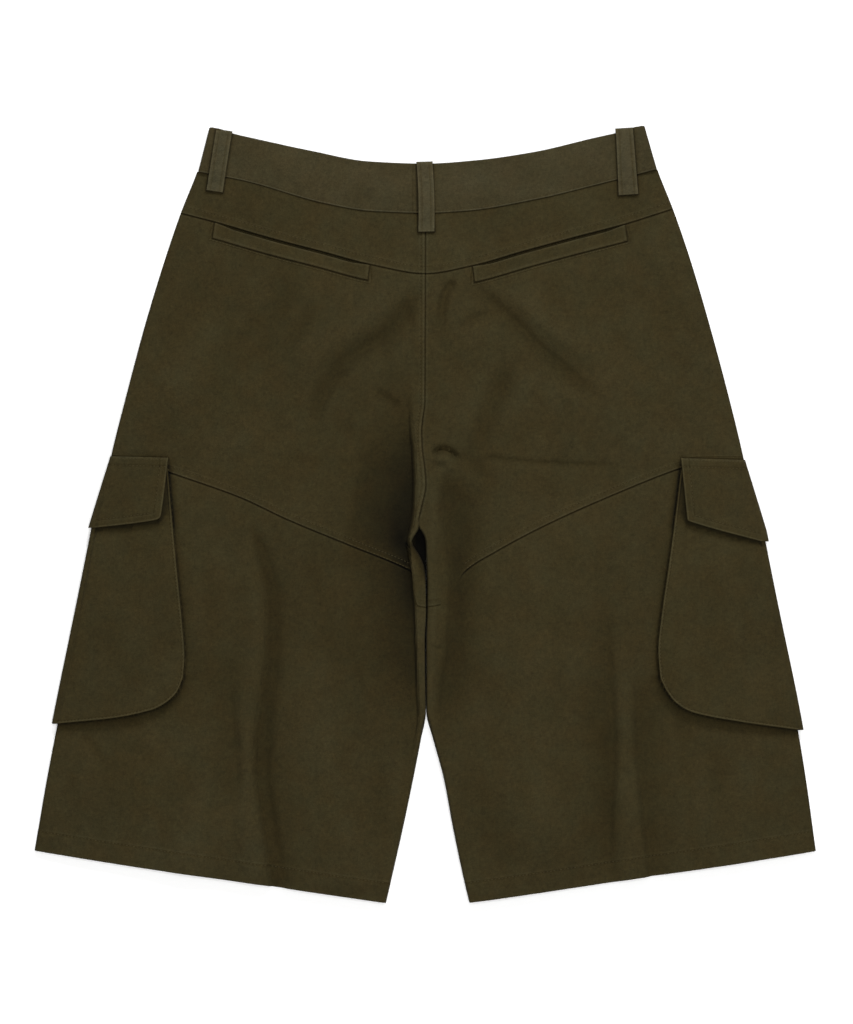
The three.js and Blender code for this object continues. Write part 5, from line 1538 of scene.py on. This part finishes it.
# ---------------------------------------------------------------- cut sizes of the cloth pieces, in metres
CUTS = {
    "yoke": dict(flat=(0.235, 0.075), area=0.0112), "back": dict(flat=(0.33, 0.34), area=0.070),
    "back_leg": dict(flat=(0.37, 0.44), area=0.116), "front": dict(flat=(0.37, 0.70), area=0.190),
    "waistband": dict(flat=(0.43, 0.046), area=0.0195), "cargo_pocket": dict(flat=(0.25, 0.245), area=0.047),
    "pocket_flap": dict(flat=(0.15, 0.085), area=0.0096), "welt": dict(flat=(0.15, 0.016), area=0.0023),
}

# ---------------------------------------------------------------- floor, light, camera
bpy.ops.mesh.primitive_plane_add(size=14, location=(0, 0, -0.0004))
floor = bpy.context.object
floor.name = "floor"
fm = bpy.data.materials.new("pale_floor")
fm.use_nodes = True
fb = fm.node_tree.nodes["Principled BSDF"]
fb.inputs["Roughness"].default_value = 0.9
fb.inputs["Specular IOR Level"].default_value = 0.1
fb.inputs["Emission Color"].default_value = (1, 1, 1, 1)
fb.inputs["Emission Strength"].default_value = 0.2
fn = fm.node_tree.nodes.new("ShaderNodeTexNoise")
fn.inputs["Scale"].default_value = 3
fr = fm.node_tree.nodes.new("ShaderNodeValToRGB")
fr.color_ramp.elements[0].color = (0.93, 0.93, 0.925, 1)
fr.color_ramp.elements[1].color = (0.95, 0.95, 0.945, 1)
fm.node_tree.links.new(fn.outputs["Fac"], fr.inputs[0])
fm.node_tree.links.new(fr.outputs[0], fb.inputs["Base Color"])
floor.data.materials.append(fm)


def area_light(name, place, aim, size, power, colour=(1, 1, 1)):
    d = bpy.data.lights.new(name, "AREA")
    d.shape = "RECTANGLE"
    d.size, d.size_y = size
    d.energy = power
    d.color = colour
    o = bpy.data.objects.new(name, d)
    bpy.context.scene.collection.objects.link(o)
    o.location = place
    from mathutils import Vector
    o.rotation_euler = (Vector(aim) - Vector(place)).to_track_quat("-Z", "Y").to_euler()
    return o


area_light("key", (0.45, 2.1, 1.45), (0, 0.02, 0), (1.3, 0.6), 46)
area_light("fill", (0.3, -2.1, 1.9), (0, -0.05, 0), (1.5, 0.8), 13)
area_light("top", (0.12, 0.02, 2.9), (0, 0, 0), (1.5, 1.5), 50)
world = bpy.data.worlds.new("world")
bpy.context.scene.world = world
world.use_nodes = True
world.node_tree.nodes["Background"].inputs[0].default_value = (1, 1, 1, 1)
world.node_tree.nodes["Background"].inputs[1].default_value = 0.21

cam = bpy.data.cameras.new("camera")
cam_ob = bpy.data.objects.new("camera", cam)
bpy.context.scene.collection.objects.link(cam_ob)
DISTANCE = 3.2
cam.sensor_fit = "HORIZONTAL"
cam.sensor_width = 36
cam.lens = 36 * (DISTANCE - 0.008) / (853 * PX / 1000)
cx = (426.5 - MID_X) * PX / 1000 + SHIFT_X / 1000
cy = (MID_Y - 512.0) * PX / 1000 + SHIFT_Y / 1000
cam_ob.location = (cx, cy, DISTANCE)
cam_ob.rotation_euler = (0, 0, 0)
cam.clip_end = 100
bpy.context.scene.camera = cam_ob
vs_ = bpy.context.scene.view_settings
vs_.view_transform = "Standard"
vs_.look = "None"
vs_.exposure = 0.0

for kind, cut in CUTS.items():
    for key in ("left", "right"):
        ob = PIECES[f"{kind}_{key}"]
for l in LOOPS:
    k = "waistband_left" if "left" in l["node"] else "waistband_right"
